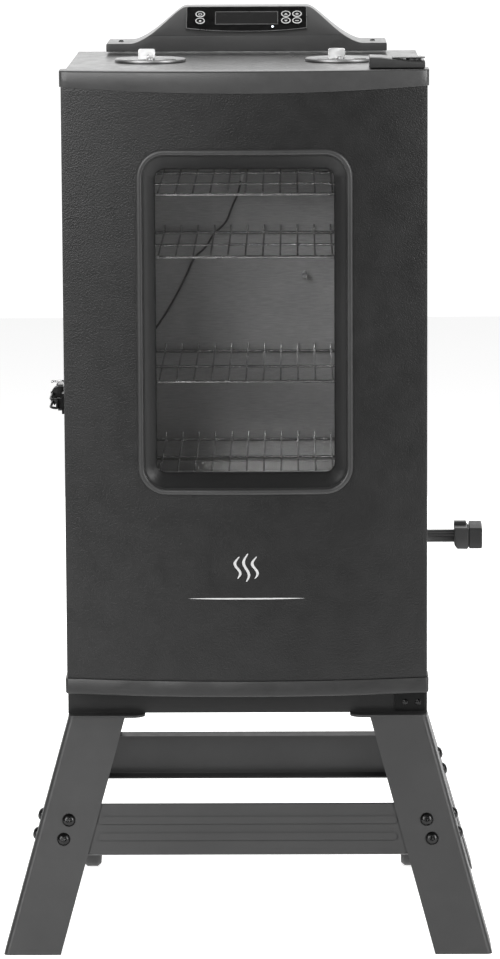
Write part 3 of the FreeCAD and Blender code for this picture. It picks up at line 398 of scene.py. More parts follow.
def plate(outlines, thickness, edge, matrix):
    """A flat plate with holes and a softened rim; outlines are closed point lists in its plane, in millimetres."""
    curve = bpy.data.curves.new("outline", "CURVE")
    curve.dimensions = "2D"
    curve.fill_mode = "BOTH"
    curve.extrude = (thickness / 2 - edge) * MM
    curve.bevel_depth = edge * MM
    curve.bevel_resolution = 3
    curve.offset = -edge * MM
    for points in outlines:
        spline = curve.splines.new("POLY")
        spline.points.add(len(points) - 1)
        spline.use_cyclic_u = True
        for target, point in zip(spline.points, points):
            target.co = (point[0] * MM, point[1] * MM, 0, 1)
    item = bpy.data.objects.new("outline", curve)
    bpy.context.scene.collection.objects.link(item)
    bpy.context.view_layer.update()
    mesh = bpy.data.meshes.new_from_object(item.evaluated_get(bpy.context.evaluated_depsgraph_get()))
    bpy.data.objects.remove(item)
    mesh.transform(matrix)
    return mesh


def ring_points(x, y, radius, count=40):
    """Points round a circle."""
    turns = [2 * math.pi * i / count for i in range(count)]
    return [(x + radius * math.cos(a), y + radius * math.sin(a)) for a in turns]


def plane_frame(origin, right, up):
    """A matrix that carries a plate's own plane to a place, in millimetres: x along right, y along up."""
    right, up = Vector(right).normalized(), Vector(up).normalized()
    out = right.cross(up)
    matrix = Matrix((right, up, out)).transposed().to_4x4()
    matrix.translation = Vector(origin) * MM
    return matrix


def joined(name, shapes):
    """Several bmesh or mesh parts as one mesh."""
    whole = bmesh.new()
    for part in shapes:
        if isinstance(part, bmesh.types.BMesh):
            mesh = from_bmesh(name, part)
        else:
            mesh = part
        whole.from_mesh(mesh)
        bpy.data.meshes.remove(mesh)
    mesh = bpy.data.meshes.new(name)
    whole.to_mesh(mesh)
    whole.free()
    return mesh


def tube(points, radius, sides=14):
    """A round wire through points, in millimetres, turned along the way without twist."""
    points = [Vector(p) for p in points]
    count = len(points)
    turns = [2 * math.pi * k / sides for k in range(sides)]
    sections = []
    normal = None
    for i, here in enumerate(points):
        back = points[i - 1] if i else here
        ahead = points[i + 1] if i < count - 1 else here
        heading = (ahead - back).normalized()
        if normal is None:
            normal = heading.orthogonal().normalized()
        normal = (normal - heading * normal.dot(heading)).normalized()
        side = heading.cross(normal)
        sections.append([here + (normal * math.cos(a) + side * math.sin(a)) * radius for a in turns])
    return loft(sections)


def section(x, corners, radii):
    """A rounded outline standing across X, from (y, z) corners."""
    return [(x, y, z) for y, z in rounded(corners, radii, 3)]


# ---------------------------------------------------------------- door

DOOR_HALF = 230.0
DOOR_EDGE = -212.5  # Y of the curved front at the door's sides
DOOR_BOW = 24.0
BOW_RADIUS = (DOOR_HALF ** 2 + DOOR_BOW ** 2) / (2 * DOOR_BOW)
BOW_CENTRE = DOOR_EDGE - DOOR_BOW + BOW_RADIUS
WINDOW = {"half": 136.0, "low": 591.0, "high": 1028.5, "corner": 36.0}
SKIN = {"low": 351.2, "high": 1105.8, "back": -174.0}
GLASS = {"half": 112.5, "low": 617.0, "high": 1001.6, "corner": 12.0}


def bow_front(across, proud=0.0):
    """Y of the door's curved front at a place across it."""
    return BOW_CENTRE - math.sqrt((BOW_RADIUS + proud) ** 2 - across ** 2)


def round_trip(half, low, high, corner, reach_at):
    """Points round a frame: an arc at each corner, as far out as reach_at gives for its angle, and straight runs."""
    side_steps, corner_steps = 16, 14
    side, top, foot = half - corner, high - corner, low + corner
    centres = [(side, top, 0), (-side, top, 90), (-side, foot, 180), (side, foot, 270)]

    def on_arc(x, z, degrees):
        a = math.radians(degrees)
        return Vector((x + reach_at(a) * math.cos(a), z + reach_at(a) * math.sin(a)))

    points = []
    for here, following in zip(centres, centres[1:] + centres[:1]):
        x, z, start = here
        points += [on_arc(x, z, start + 90 * i / corner_steps) for i in range(corner_steps + 1)]
        last, target = points[-1], on_arc(*following)
        points += [last.lerp(target, i / side_steps) for i in range(1, side_steps)]
    return points


def window_path(inset, blend_to_glass):
    """Points round the window, between the bezel's outer edge moved in and the glass's edge."""
    paths = []
    for shape, move in ((WINDOW, inset), (GLASS, 0.0)):
        half, low, high = shape["half"] - move, shape["low"] + move, shape["high"] - move
        radius = max(shape["corner"] - move, 2.0)
        paths.append(round_trip(half, low, high, radius, lambda a: radius))
    return [a.lerp(b, blend_to_glass) for a, b in zip(*paths)]


def make_bezel():
    """The raised bead round the window and the sloping frame inside it, as one moulded ring."""
    bead, rise, bead_steps, slope_steps = 7.5, 3.2, 8, 7
    lip, seat, glass_y = 3.2, DOOR_EDGE + 0.15, DOOR_EDGE + 0.1
    profile = [(0.4, 0.0, 0.6)]
    for i in range(bead_steps + 1):
        a = math.pi * i / bead_steps
        profile.append((bead / 2 - bead / 2 * math.cos(a) * 0.96, 0.0, -rise * math.sin(a) ** 0.7))
    profile += [(bead, 0.0, 1.6), (bead, 0.05, lip)]
    sections = []
    for inset, share, depth in profile:
        sections.append([(p.x, bow_front(p.x) + depth, p.y) for p in window_path(inset, share)])
    for i in range(1, slope_steps + 1):
        share = i / slope_steps
        ease = share ** 1.15
        path = window_path(bead, share)
        sections.append([(p.x, (bow_front(p.x) + lip) * (1 - ease) + glass_y * ease, p.y) for p in path])
    outer = window_path(6.0, 0.0)
    sections.append([(p.x, seat, p.y) for p in window_path(bead, 1.0)])
    sections.append([(p.x, seat, p.y) for p in outer])
    sections.append([(p.x, bow_front(p.x) + 2.0, p.y) for p in outer])
    sections.append([(p.x, bow_front(p.x) + 0.7, p.y) for p in window_path(1.0, 0.0)])
    shape = loft(sections, closed_way=True)
    item = as_piece("bezel_moulding", from_bmesh("bezel_moulding", shape), "bezel_plastic", "door", sharp=50)
    # The sloping faces take the darker copy: painted shade in the recess round the glass.
    item.data.materials.append(SHADED_FUNNEL_PLASTIC)
    around, first_slope = len(sections[0]), len(profile) - 1
    for face in item.data.polygons:
        if first_slope <= face.index // around < first_slope + slope_steps:
            face.material_index = 1
    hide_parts("window_bezel")


def edge_path(low, high, half, reach):
    """The door's square outline, point for point beside the window's rounded one."""
    return round_trip(half, low, high, reach, lambda a: reach / max(abs(math.cos(a)), abs(math.sin(a))))


def make_door_skin():
    """The door's bowed sheet as one clean skin round the window, with its folded-back sides."""
    gauge, fold, inset, corner, front_steps, back_steps = 1.4, 1.6, 1.2, 90.0, 26, 8
    low, high, back = SKIN["low"], SKIN["high"], SKIN["back"]
    inner = window_path(1.5, 0.0)
    outer = edge_path(low, high, DOOR_HALF, corner)
    tucked = edge_path(low + inset, high - inset, DOOR_HALF - gauge, corner)
    sections = []
    for i in range(front_steps):
        ring = [a.lerp(b, i / front_steps) for a, b in zip(inner, outer)]
        sections.append([(p.x, bow_front(p.x, -0.05), p.y) for p in ring])
    sections.append([(p.x * (1 - 0.35 / DOOR_HALF), bow_front(p.x) + 0.2, p.y) for p in outer])
    sections.append([(p.x, bow_front(p.x) + fold, p.y) for p in outer])
    sections.append([(p.x, back, p.y) for p in outer])
    sections.append([(p.x, back, p.y) for p in tucked])
    sections.append([(p.x, bow_front(p.x) + gauge + 0.6, p.y) for p in tucked])
    for i in range(1, back_steps + 1):
        ring = [b.lerp(a, i / back_steps) for a, b in zip(inner, tucked)]
        sections.append([(p.x, bow_front(p.x) + gauge, p.y) for p in ring])
    sheet = from_bmesh("door_sheet", loft(sections, closed_way=True))
    item = as_piece("door_sheet", sheet, "door_paint", "door", sharp=40)
    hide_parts("door_skin")


def make_top_cap():
    """The door's moulded top cap, whose front skirt hangs lower towards the middle."""
    half, top, foot, back, proud, sag = DOOR_HALF + 2, 1126.0, 1106.1, -172.5, 2.0, 7.6
    corner, gauge, steps = 5.0, 1.8, 60
    places = [-half, -half + 0.3, -half + 1.0, -half + 2.2]
    places += [-half + 4 + (2 * half - 8) * i / steps for i in range(steps + 1)]
    places += [half - 2.2, half - 1.0, half - 0.3, half]
    sections = []
    for x in places:
        past = max(0.0, abs(x) - (half - corner))
        front = bow_front(x) - proud + corner - math.sqrt(corner ** 2 - past ** 2)
        low = foot - 0.4 - sag * (1 - (x / half) ** 2)
        pinch = 0.8 if abs(x) == half else 0.0
        corners = [(front, low + pinch), (front, top - pinch), (back, top - pinch), (back, foot + pinch),
                   (front + gauge, foot + pinch), (front + gauge, low + pinch)]
        sections.append(section(x, corners, [0.5, 2.5, 0.6, 0.4, 0.0, 0.5]))
    item = as_piece("top_cap", from_bmesh("top_cap", loft(sections)), "door_cap_plastic", "door", sharp=40)
    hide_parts("door_cap_top")


def wisp(middle, centre, tall):
    """A closed outline of one rising wisp: a wave that is thick in the middle and thin at its ends."""
    steps, swing, half_turns, thick = 32, 3.4, 2.2, 1.9
    left, right = [], []
    for i in range(steps + 1):
        t = i / steps
        x, z = middle + swing * math.sin(t * half_turns * math.pi), centre + tall * (t - 0.5)
        half = thick * math.sin(math.pi * (0.06 + 0.88 * t)) ** 0.6
        left.append((x - half, z))
        right.append((x + half, z))
    return left + right[::-1]


def make_emblem():
    """A plain printed mark of our own: three rising wisps over a thin rule."""
    wisp_height, gap, rule_height, rule_half, rule_thick = 498.0, 11.0, 458.0, 74, 0.9
    outlines = [wisp(-gap, wisp_height, 28.0), wisp(0.0, wisp_height, 36.0), wisp(gap, wisp_height, 28.0)]
    rule = []
    for side, places in ((1, range(-rule_half, rule_half + 1, 4)), (-1, range(rule_half, -rule_half - 1, -4))):
        rule += [(x, rule_height + side * rule_thick * (1 - (x / rule_half) ** 4)) for x in places]
    shape = bmesh.new()
    for outline in outlines + [rule]:
        front = [shape.verts.new(Vector((x, bow_front(x, 0.35), z)) * MM) for x, z in outline]
        rear = [shape.verts.new(Vector((x, bow_front(x, -0.2), z)) * MM) for x, z in outline]
        count = len(outline)
        for ring in (front, rear):
            for i in range(count // 2 - 1):
                shape.faces.new((ring[i], ring[i + 1], ring[-i - 2], ring[-i - 1]))
        for i in range(count):
            j = (i + 1) % count
            shape.faces.new((front[i], front[j], rear[j], rear[i]))
    item = as_piece("door_mark", from_bmesh("door_mark", shape), MARK_PRINT, "door")


# ---------------------------------------------------------------- controller

HEAD = {
    "base": 1128.0,
    "top": 1184.5,
    "wing": 186.0,
    "wing_gauge": 10.5,
    "crown": 81.0,
    "flank_foot": 152.0,
    "front": 127.5,
    "back": 237.5,
    "ridge": 1149.0,
    "lean": math.radians(55),
}


def head_height(across):
    """Height of the controller's top at a place across it: flat crown, S-shaped flanks, thin wings."""
    x = abs(across)
    crown, foot = HEAD["crown"], HEAD["flank_foot"]
    low, high = HEAD["base"] + HEAD["wing_gauge"], HEAD["top"]
    if x <= crown:
        return high
    if x >= foot:
        return low
    t = (x - crown) / (foot - crown)
    skew = t ** 0.86
    return high + (low - high) * (skew * skew * (3 - 2 * skew) * 0.62 + skew * 0.38 * (1 - (1 - t) ** 8))


def make_head():
    """The control head's moulded shell, lofted from end to end."""
    half, steps = HEAD["wing"], 96
    places = [-half, -half + 0.6]
    places += [-half + 2 + (2 * half - 4) * i / steps for i in range(steps + 1)]
    places += [half - 0.6, half]
    sections = []
    for x in places:
        from_end = half - abs(x)
        pinch = 0.9 if from_end <= 0 else 0.25 if from_end < 1 else 0.0
        top = head_height(x) - pinch
        ridge = min(HEAD["ridge"], top - 1.2)
        front, back, base = HEAD["front"] + pinch, HEAD["back"] - pinch, HEAD["base"] + pinch
        lean_back = front + (top - ridge) * math.tan(HEAD["lean"])
        corners = [(front, base), (front, ridge), (lean_back, top), (back, top), (back, base)]
        in_wing = top - ridge < 3
        radii = [0.8, 1.0, 0.5, 1.0, 0.8] if in_wing else [0.8, 1.6, 2.0, 4.0, 0.8]
        sections.append([(x, y, z) for y, z in rounded(corners, radii, 4)])
    item = as_piece("control_head", from_bmesh("control_head", loft(sections)), "trim_plastic", "cabinet", sharp=32)
    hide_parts("controller_housing")


PANEL_FOOT = Vector((0, HEAD["front"], HEAD["ridge"]))
PANEL_UP = Vector((0, math.sin(HEAD["lean"]), math.cos(HEAD["lean"])))
PANEL_OUT = Vector((1, 0, 0)).cross(PANEL_UP)
BUTTONS = [(-61.7, 28.3), (-61.7, 42.5), (52.3, 28.3), (52.3, 42.5), (67.1, 28.3), (67.1, 42.5)]
SIGNS = ["dot", "ring", "down", "up", "bar", "cross"]
BUTTON_RADIUS = 6.4


def panel_matrix(proud):
    """Lays a plate on the leaning panel, its middle plane proud of the face."""
    return plane_frame(PANEL_FOOT + PANEL_OUT * proud, (1, 0, 0), PANEL_UP)


def panel_spot(across, up, proud=0.0):
    """A place on the leaning panel."""
    return PANEL_FOOT + Vector((across, 0, 0)) + PANEL_UP * up + PANEL_OUT * proud


def panel_outline(inset):
    """The panel's face: straight top and sides, and a lower edge that bows down in the middle."""
    half, top, shoulder, corner, sag, steps = 80.0 - inset, 59.5 - inset, 20.0, 13.5, 6.5, 24
    lower = []
    for i in range(steps + 1):
        x = -half + 2 * half * i / steps
        lower.append((x, sag + inset + (corner - sag) * (abs(x) / half) ** 2.4))
    return lower + rounded([(half, shoulder), (half, top), (-half, top), (-half, shoulder)], [0, 3, 3, 0])


def display_outline(inset, radius):
    """The display's rounded rectangle, moved in across and up."""
    half, low, high, (across, up) = 42, 21, 49, inset
    return rounded([(across - half, low + up), (half - across, low + up), (half - across, high - up),
                    (across - half, high - up)], radius)


def make_panel():
    """The glossy face with its thin trim, the framed display and a small lamp."""
    holes = [ring_points(x, up, BUTTON_RADIUS + 0.2) for x, up in BUTTONS]
    face = plate([panel_outline(0.8)] + holes, 1.5, 0.25, panel_matrix(0.85))
    item = as_piece("panel_face", face, "panel_gloss", "cabinet", sharp=40)
    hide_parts("control_panel")
    trim = plate([panel_outline(-0.4), panel_outline(0.7)[::-1]], 1.9, 0.2, panel_matrix(1.0))
    as_piece("panel_trim", trim, "bracket_steel", "cabinet", sharp=40)
    outer, inner = display_outline((0, 0), 1.5), display_outline((1.2, 1.6), 1.0)
    rim = plate([outer, inner[::-1]], 0.5, 0.12, panel_matrix(1.75))
    as_piece("display_frame", rim, DISPLAY_FRAME, "cabinet", sharp=40)
    glass = plate([inner], 0.3, 0.08, panel_matrix(1.65))
    as_piece("display_glass", glass, DISPLAY_GLASS, "cabinet", sharp=40)
    dome = [(0, 0), (1.3, 0), (1.25, 0.5), (0.8, 0.8), (0, 0.9)]
    lens = lathe(dome, panel_spot(34.5, 16.6, 1.5), PANEL_OUT, 32)
    as_piece("panel_lamp", from_bmesh("panel_lamp", lens), LENS_GLOW, "cabinet")


def sign_outlines(sign, x, up):
    """A plain sign for a key, as closed outlines in the panel's plane."""
    if sign in ("up", "down"):
        way = 1 if sign == "up" else -1
        return [[(x - 2.4, up - 1.3 * way), (x + 2.4, up - 1.3 * way), (x, up + 2.2 * way)][::way]]
    if sign == "dot":
        return [ring_points(x, up, 1.7, 24)]
    if sign == "ring":
        return [ring_points(x, up, 2.5, 28), ring_points(x, up, 1.7, 24)[::-1]]
    thin, long = 0.6, 2.4
    if sign == "bar":
        corners = [(-long, -thin), (long, -thin), (long, thin), (-long, thin)]
    else:
        corners = [(-long, -thin), (-thin, -thin), (-thin, -long), (thin, -long), (thin, -thin), (long, -thin),
                   (long, thin), (thin, thin), (thin, long), (-thin, long), (-thin, thin), (-long, thin)]
    return [[(x + a, up + b) for a, b in corners]]


def make_buttons():
    """Round keys: a dark dished cap with a bright ring and a plain bright sign."""
    r = BUTTON_RADIUS
    cap_profile = [(0, -2.4), (r - 0.15, -2.4), (r - 0.05, 2.2), (r - 0.4, 2.6), (r - 1.6, 2.55), (r - 2.2, 2.3),
                   (0, 2.2)]
    ring_profile = [(r - 0.05, 2.3), (r - 0.1, 2.75), (r - 0.7, 2.95), (r - 1.35, 2.75), (r - 1.4, 2.4),
                    (r - 0.05, 2.3)]
    for i, ((x, up), sign) in enumerate(zip(BUTTONS, SIGNS), start=1):
        body = f"button_{i}"
        cap = lathe(cap_profile, panel_spot(x, up), PANEL_OUT, 56)
        item = as_piece(f"key_{i}", from_bmesh(f"key_{i}", cap), "panel_gloss", body)
        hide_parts(body)
        ring = lathe(ring_profile, panel_spot(x, up), PANEL_OUT, 56)
        as_piece(f"key_ring_{i}", from_bmesh(f"key_ring_{i}", ring), KEY_PRINT, body)
        mark = plate(sign_outlines(sign, x, up), 0.3, 0.05, panel_matrix(2.4))
        as_piece(f"key_sign_{i}", mark, KEY_PRINT, body)


# ---------------------------------------------------------------- screws of the back and the head

BACK_FACE = 202.5
BACK_HOLES = {"edge": 203, "middle": 70, "levels": (312, 512, 712, 912, 1106)}
WING_HOLE = (168, 182)


def screw(place, axis):
    """A pan-head screw with a raised cross on its head."""
    axis, radius = Vector(axis), 3.4
    profile = [(0, 1.1), (radius * 0.35, 1.1), (radius * 0.42, 1.9), (radius * 0.75, 1.7), (radius * 0.96, 1.0),
               (radius, 0.35), (radius, -0.2), (0, -0.2)]
    side = axis.orthogonal().normalized()
    middle = Vector(place) + axis * 1.6
    arms = []
    for way in (side, axis.cross(side)):
        across = axis.cross(way)
        ring = [middle + way * (radius * a) + across * (radius * b)
                for a, b in ((-0.62, -0.09), (0.62, -0.09), (0.62, 0.09), (-0.62, 0.09))]
        arms.append(loft([ring, [p + axis * 0.32 for p in ring]]))
    return [lathe(profile, place, axis, 28)] + arms


def make_back_screws():
    """Screws down both edges and along both ends of the flat back, and two through the control head's wings."""
    edge, middle, levels = BACK_HOLES["edge"], BACK_HOLES["middle"], BACK_HOLES["levels"]
    places = [(x, z) for z in levels for x in (-edge, edge)]
    places += [(x, z) for x in (-middle, middle) for z in (levels[0], levels[-1])]
    parts = []
    for x, z in places:
        parts += screw((x, BACK_FACE, z), (0, 1, 0))
    for side in (-1, 1):
        parts += screw((side * WING_HOLE[0], WING_HOLE[1], HEAD["base"] + HEAD["wing_gauge"]), (0, 0, 1))
    as_piece("panel_screws", joined("panel_screws", parts), "fastener_steel", "cabinet", sharp=35)


# ---------------------------------------------------------------- top vents

VENT_X = 123.0
VENT_Y = -17.5
LID_BASE = 1125.3


def tab_shape(left, right):
    """An upright finger tab with rounded upper corners."""
    tall, place = 13.5, (0, VENT_Y + 7.0, LID_BASE + 1.6)
    outline = rounded([(left, 0), (right, 0), (right, tall), (left, tall)], [0, 0, 3.0, 3.0])
    return plate([outline], 1.6, 0.4, plane_frame(place, (1, 0, 0), (0, 0, 1)))


def make_dampers():
    """Stamped vent covers: a dished disc with an open slot, a rolled rim, a rivet and an upright tab."""
    up, y = (0, 0, 1), VENT_Y
    rim_profile = [(38.5, 1.6), (41, 2.1), (43, 3.2), (44.6, 3.3), (45.7, 2.4), (46, 0.8), (45.7, -0.4),
                   (44.9, -0.4), (44.4, 0.8), (42.5, 1.2), (38.5, 0.8)]
    dimple_profile = [(0, 2.4), (2.2, 2.3), (3.4, 1.8), (3.8, 1.2), (0, 1.2)]
    rivet_profile = [(0, -7.5), (2.9, -7.5), (2.9, 1.4), (5.2, 1.6), (5.0, 3.2), (3.4, 4.3), (0, 4.6)]
    disc_place = Matrix.Translation((0, 0, (LID_BASE + 1.25) * MM))
    for name, side in (("left", -1), ("right", 1)):
        body = f"damper_{name}"
        x = side * VENT_X
        middle = (x, y, LID_BASE)
        rim = lathe(rim_profile, middle, up, 96)
        slot = rounded([(x + 17, y - 6), (x + 33, y - 9), (x + 33, y + 9), (x + 17, y + 6)], 3)
        disc = plate([ring_points(x, y, 39.0, 96), slot[::-1]], 1.0, 0.2, disc_place)
        dimple = lathe(dimple_profile, (x - 27, y, LID_BASE), up, 24)
        rivet = lathe(rivet_profile, middle, up, 40)
        # The tab's bright plating is a painted highlight where it faces the front light.
        as_piece(f"vent_tab_{name}", tab_shape(x - 16.0, x + 6.0), LIT_TAB_METAL, body, sharp=40)
        whole = joined(f"vent_cover_{name}", [rim, disc, dimple, rivet])
        item = as_piece(f"vent_cover_{name}", whole, "damper_metal", body, sharp=40)
        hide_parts(body)


# ---------------------------------------------------------------- top hinge cover

def make_hinge_cover():
    """A moulded arm that thins towards the pin, with a ribbed knuckle under a thin cap plate."""
    base, front, back = 1127.4, -207.5, -154.0
    tall = [(157.4, 12.8), (158.2, 13.6), (172, 13.2), (186, 11.4), (204, 9.4), (222, 8.6), (226.4, 8.4),
            (227.0, 7.6)]
    sections = []
    for i, (x, high) in enumerate(tall):
        pinch = 0.6 if i in (0, len(tall) - 1) else 0.0
        corners = [(front + pinch, base + pinch), (front + pinch, base + high - 1.6), (front + 3.5, base + high),
                   (back - pinch, base + high), (back - pinch, base + pinch)]
        sections.append(section(x, corners, [0.8, 1.2, 1.5, 1.0, 0.8]))
    arm = from_bmesh("arm", loft(sections))
    lip_outline = rounded([(186, -204), (227, -204), (227, -172), (186, -172)], [1, 5, 12, 1])
    lip = plate([lip_outline], 1.4, 0.3, Matrix.Translation((0, 0, (base + 12.3) * MM)))
    ribs, rib_pitch = 4, 2.9
    knuckle = []
    for k in range(ribs):
        low = base + 0.2 + k * rib_pitch
        knuckle += [(9.2, low), (9.9, low + 0.4), (9.9, low + 2.0), (9.2, low + 2.4), (8.4, low + 2.45),
                    (8.4, low + 2.85)]
    knuckle = [(0, knuckle[0][1])] + knuckle + [(0, knuckle[-1][1])]
    barrel = lathe(knuckle, (213, -190.5, 0), (0, 0, 1), 48)
    foot_corners = [(-164, 1124.2), (-164, 1130), (-139, 1130), (-139, 1124.2)]
    foot = from_bmesh("foot", loft([section(x, foot_corners, 1.0) for x in (157.5, 158.2, 226.2, 226.9)]))
    whole = joined("hinge_cover", [arm, lip, barrel, foot])
    item = as_piece("hinge_cover", whole, "trim_plastic", "cabinet", sharp=32)
    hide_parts("hinge_bracket_top")


# ---------------------------------------------------------------- door latch

LATCH_PIVOT = (-235.6, -139.0)
LATCH_UP = 704.0
CLAW = [(5.6, 14.0), (-4.0, 14.2), (-9.6, 12.8), (-13.2, 8.6), (-14.2, 2.5), (-13.6, -3.4), (-12.0, -8.0),
        (-10.2, -11.2), (-9.2, -9.6), (-8.2, -6.0), (-6.6, -6.4), (-6.0, -13.2), (5.6, -13.2)]
CLAW_ROUNDING = [1, 1.5, 3, 4, 5, 5, 4, 0.7, 1.5, 1, 0.6, 1, 1]
CLAW_ENDS = [(-145.8, 0.10), (-145.0, 0.02), (-138, 0.0), (-131, 0.0), (-127, 0.10), (-126.4, 0.2)]


def claw_outline(shrink):
    """The lever's end view in X and Z about its pin: a rounded back that runs down into a hooked tip."""
    corners = [(x * (1 - shrink) - shrink, z * (1 - shrink)) for x, z in CLAW]
    return rounded(corners, CLAW_ROUNDING, 3)


def make_latch_lever():
    """A hooked lever on its upright pin, with its flat handle running back along the wall."""
    px = LATCH_PIVOT[0]
    sections = [[(px + x, y, LATCH_UP + z) for x, z in claw_outline(shrink)] for y, shrink in CLAW_ENDS]
    claw = from_bmesh("claw", loft(sections))
    arm, steps, start, length = [], 18, -130, 47.2
    for i in range(steps + 1):
        t = i / steps
        y = start + length * t
        x = px - 2.6 - 6.5 * max(0.0, (t - 0.72) / 0.28) ** 2
        half = 12.6 - 1.5 * t ** 3 - (1.6 if i == steps else 0)
        thick = 2.1 - (0.7 if i == steps else 0)
        corners = [(x - thick, LATCH_UP - half), (x - thick, LATCH_UP + half), (x + thick, LATCH_UP + half),
                   (x + thick, LATCH_UP - half)]
        arm.append([(a, y, b) for a, b in rounded(corners, 1.3, 4)])
    handle = from_bmesh("handle", loft(arm))
    item = as_piece("latch_handle", joined("latch_handle", [claw, handle]), CLAW_PLASTIC, "latch_lever", sharp=40)
    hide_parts("latch_lever")


def make_latch_bail():
    """The wire bail that the lever pulls on, with an eye at each end."""
    eye_x, eye_y = LATCH_PIVOT[0] - 11.0, LATCH_PIVOT[1]
    rise, wire, out, reach, bend_in, bend_on, steps = 5.2, 1.7, 1.2, 52, 8.4, 14.4, 5
    level = LATCH_UP + rise
    way = [(eye_x, eye_y, level), (eye_x - out, eye_y - 10, level), (eye_x - out, eye_y - reach, level)]
    for k in range(1, steps + 1):
        a = math.pi / 2 * k / steps
        way.append((eye_x - out + bend_in * (1 - math.cos(a)), eye_y - reach - bend_on * math.sin(a), level))
    back = [(x, y, 2 * LATCH_UP - z) for x, y, z in reversed(way)]
    corner = way[-1]
    turn = [(corner[0] + 0.6, corner[1], LATCH_UP + rise * math.cos(math.pi * k / 6)) for k in range(1, 6)]
    loop = tube(way + turn + back, wire)
    eye = [(2.1, 3.2), (3.9, 3.2), (4.1, 3.6), (4.1, 6.4), (3.9, 6.8), (2.1, 6.8), (2.1, 3.2)]
    eyes = [lathe(eye, (eye_x, eye_y, LATCH_UP), (0, 0, side), 32) for side in (-1, 1)]
    # The bail's chrome wire takes dark steel: painted shade for the dark surroundings it reflects.
    item = as_piece("latch_wire", joined("latch_wire", [loop] + eyes), DARK_STEEL, "latch_bail", sharp=40)
    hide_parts("latch_bail")


def make_latch_clip():
    """The bright spring wire over the lever's upper end."""
    way = [(-249.4, -146, 20.4), (-246, -146, 21.4), (-242, -146, 21.0), (-238, -147, 21.8), (-234, -147, 21.4),
           (-232.6, -147, 19.0), (-232.6, -147, 14.4)]
    clip = tube([(x, y, LATCH_UP + z) for x, y, z in way], 1.5, 12)
    as_piece("latch_clip", from_bmesh("latch_clip", clip), "rack_chrome", "cabinet", sharp=40)


# ---------------------------------------------------------------- chip loader handle

LOADER = (-82.5, 512.0)  # Y and Z of the loader's axis


def grip_section(x, inset, near, far, tops, low, radius):
    """A block's outline across X, moved in on all sides; its top slopes from the near height to the far one."""
    y, z = LOADER
    corners = [(y + near + inset, z + low + inset), (y + near + inset, z + tops[0] - inset),
               (y + far - inset, z + tops[1] - inset), (y + far - inset, z + low + inset)]
    return section(x, corners, radius)


def make_loader_grip():
    """A stem into a block grip: a plate with a raised back wall, then a finely ribbed block."""
    y, z = LOADER
    stem = lathe([(0, 228.6), (8.3, 228.6), (8.3, 268), (9.2, 269.6), (0, 269.6)], (0, y, z), (1, 0, 0), 56)
    guide_corners = [(y - 9.4, z + 1.6), (y - 9.4, z + 3.4), (y - 6, z + 6.4), (y - 6, z + 1.6)]
    guide = loft([section(x, guide_corners, 0.5) for x in (229, 229.5, 268.5, 269)])
    stops = [(268.6, 0.9, 4.6), (269.4, 0.1, 4.0), (271.6, 0.0, 1.2), (272.6, 0.0, 0.2), (285.2, 0.0, 0.0),
             (286.2, 0.7, 0.0), (287.0, 1.8, 0.6), (287.8, 1.8, 0.6)]
    first = loft([grip_section(x, inset, -16.4, 14.8, (12.4, 15.2), lift - 15.4, 2.2) for x, inset, lift in stops])
    wall = []
    for x, inset in ((268.8, 0.5), (269.3, 0.0), (284.0, 0.0), (284.6, 0.5)):
        near, far, foot, top = y + 2.0 + inset, y + 13.6 - inset, z + 11, z + 18.4 - inset
        wall.append(section(x, [(near, foot), (near, top), (far, top), (far, foot)], 1.0))
    start, end, ribs = 287.6, 305.0, 11
    pitch = (end - start - 2.8) / ribs
    stops = [(start, 1.6), (start + 0.5, 0.5)]
    for k in range(ribs):
        at = start + 1.0 + k * pitch
        stops += [(at, 0.35), (at + pitch * 0.25, 0.0), (at + pitch * 0.7, 0.0), (at + pitch * 0.95, 0.35)]
    stops += [(end - 1.4, 0.2), (end - 0.5, 0.9), (end, 2.4)]
    second = loft([grip_section(x, inset, -16.2, 14.6, (12.0, 18.4), -15.0, 2.6) for x, inset in stops])
    whole = joined("loader_grip", [stem, guide, first, loft(wall), second])
    item = as_piece("loader_grip", whole, "trim_plastic", "loader_turn", sharp=32)
    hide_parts("loader_handle")


# ---------------------------------------------------------------- probe cable

CABLE_PLANE = 163.7
CABLE_DIAMETER = 0.0028  # metres
CABLE_ROUTE = [(-9, 953), (-11, 938), (-21, 918), (-28, 897), (-46, 882), (-56, 863), (-72, 851), (-82, 827),
               (-97, 798), (-112, 772), (-134, 741), (-150, 706), (-161, 664), (-168, 617), (-172, 568), (-175, 520),
               (-176, 478), (-171, 447), (-158, 431), (-141, 431), (-130, 446), (-128, 470)]


def make_cable():
    """The meat probe's lead: down the back of the chamber from its gland and up again to the probe."""
    curve = bpy.data.curves.new("probe_lead", "CURVE")
    curve.dimensions = "3D"
    curve.bevel_depth = CABLE_DIAMETER / 2
    curve.bevel_resolution = 4
    curve.resolution_u = 10
    curve.use_fill_caps = True
    spline = curve.splines.new("NURBS")
    spline.points.add(len(CABLE_ROUTE) - 1)
    for point, (x, z) in zip(spline.points, CABLE_ROUTE):
        point.co = (x * MM, CABLE_PLANE * MM, z * MM, 1)
    spline.order_u = 3
    spline.use_endpoint_u = True
    lead = bpy.data.objects.new("probe_lead", curve)
    bpy.context.scene.collection.objects.link(lead)
    curve.materials.append(MATERIALS["cable_jacket"])
    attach(lead, "cabinet")
    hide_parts("probe_cable")
    x, z = CABLE_ROUTE[0]


make_door_skin()
make_bezel()
make_top_cap()
make_emblem()
make_head()
make_panel()
make_buttons()
make_back_screws()
make_dampers()
make_hinge_cover()
make_latch_lever()
make_latch_bail()
make_latch_clip()
make_loader_grip()
make_cable()

# ---------------------------------------------------------------- studio


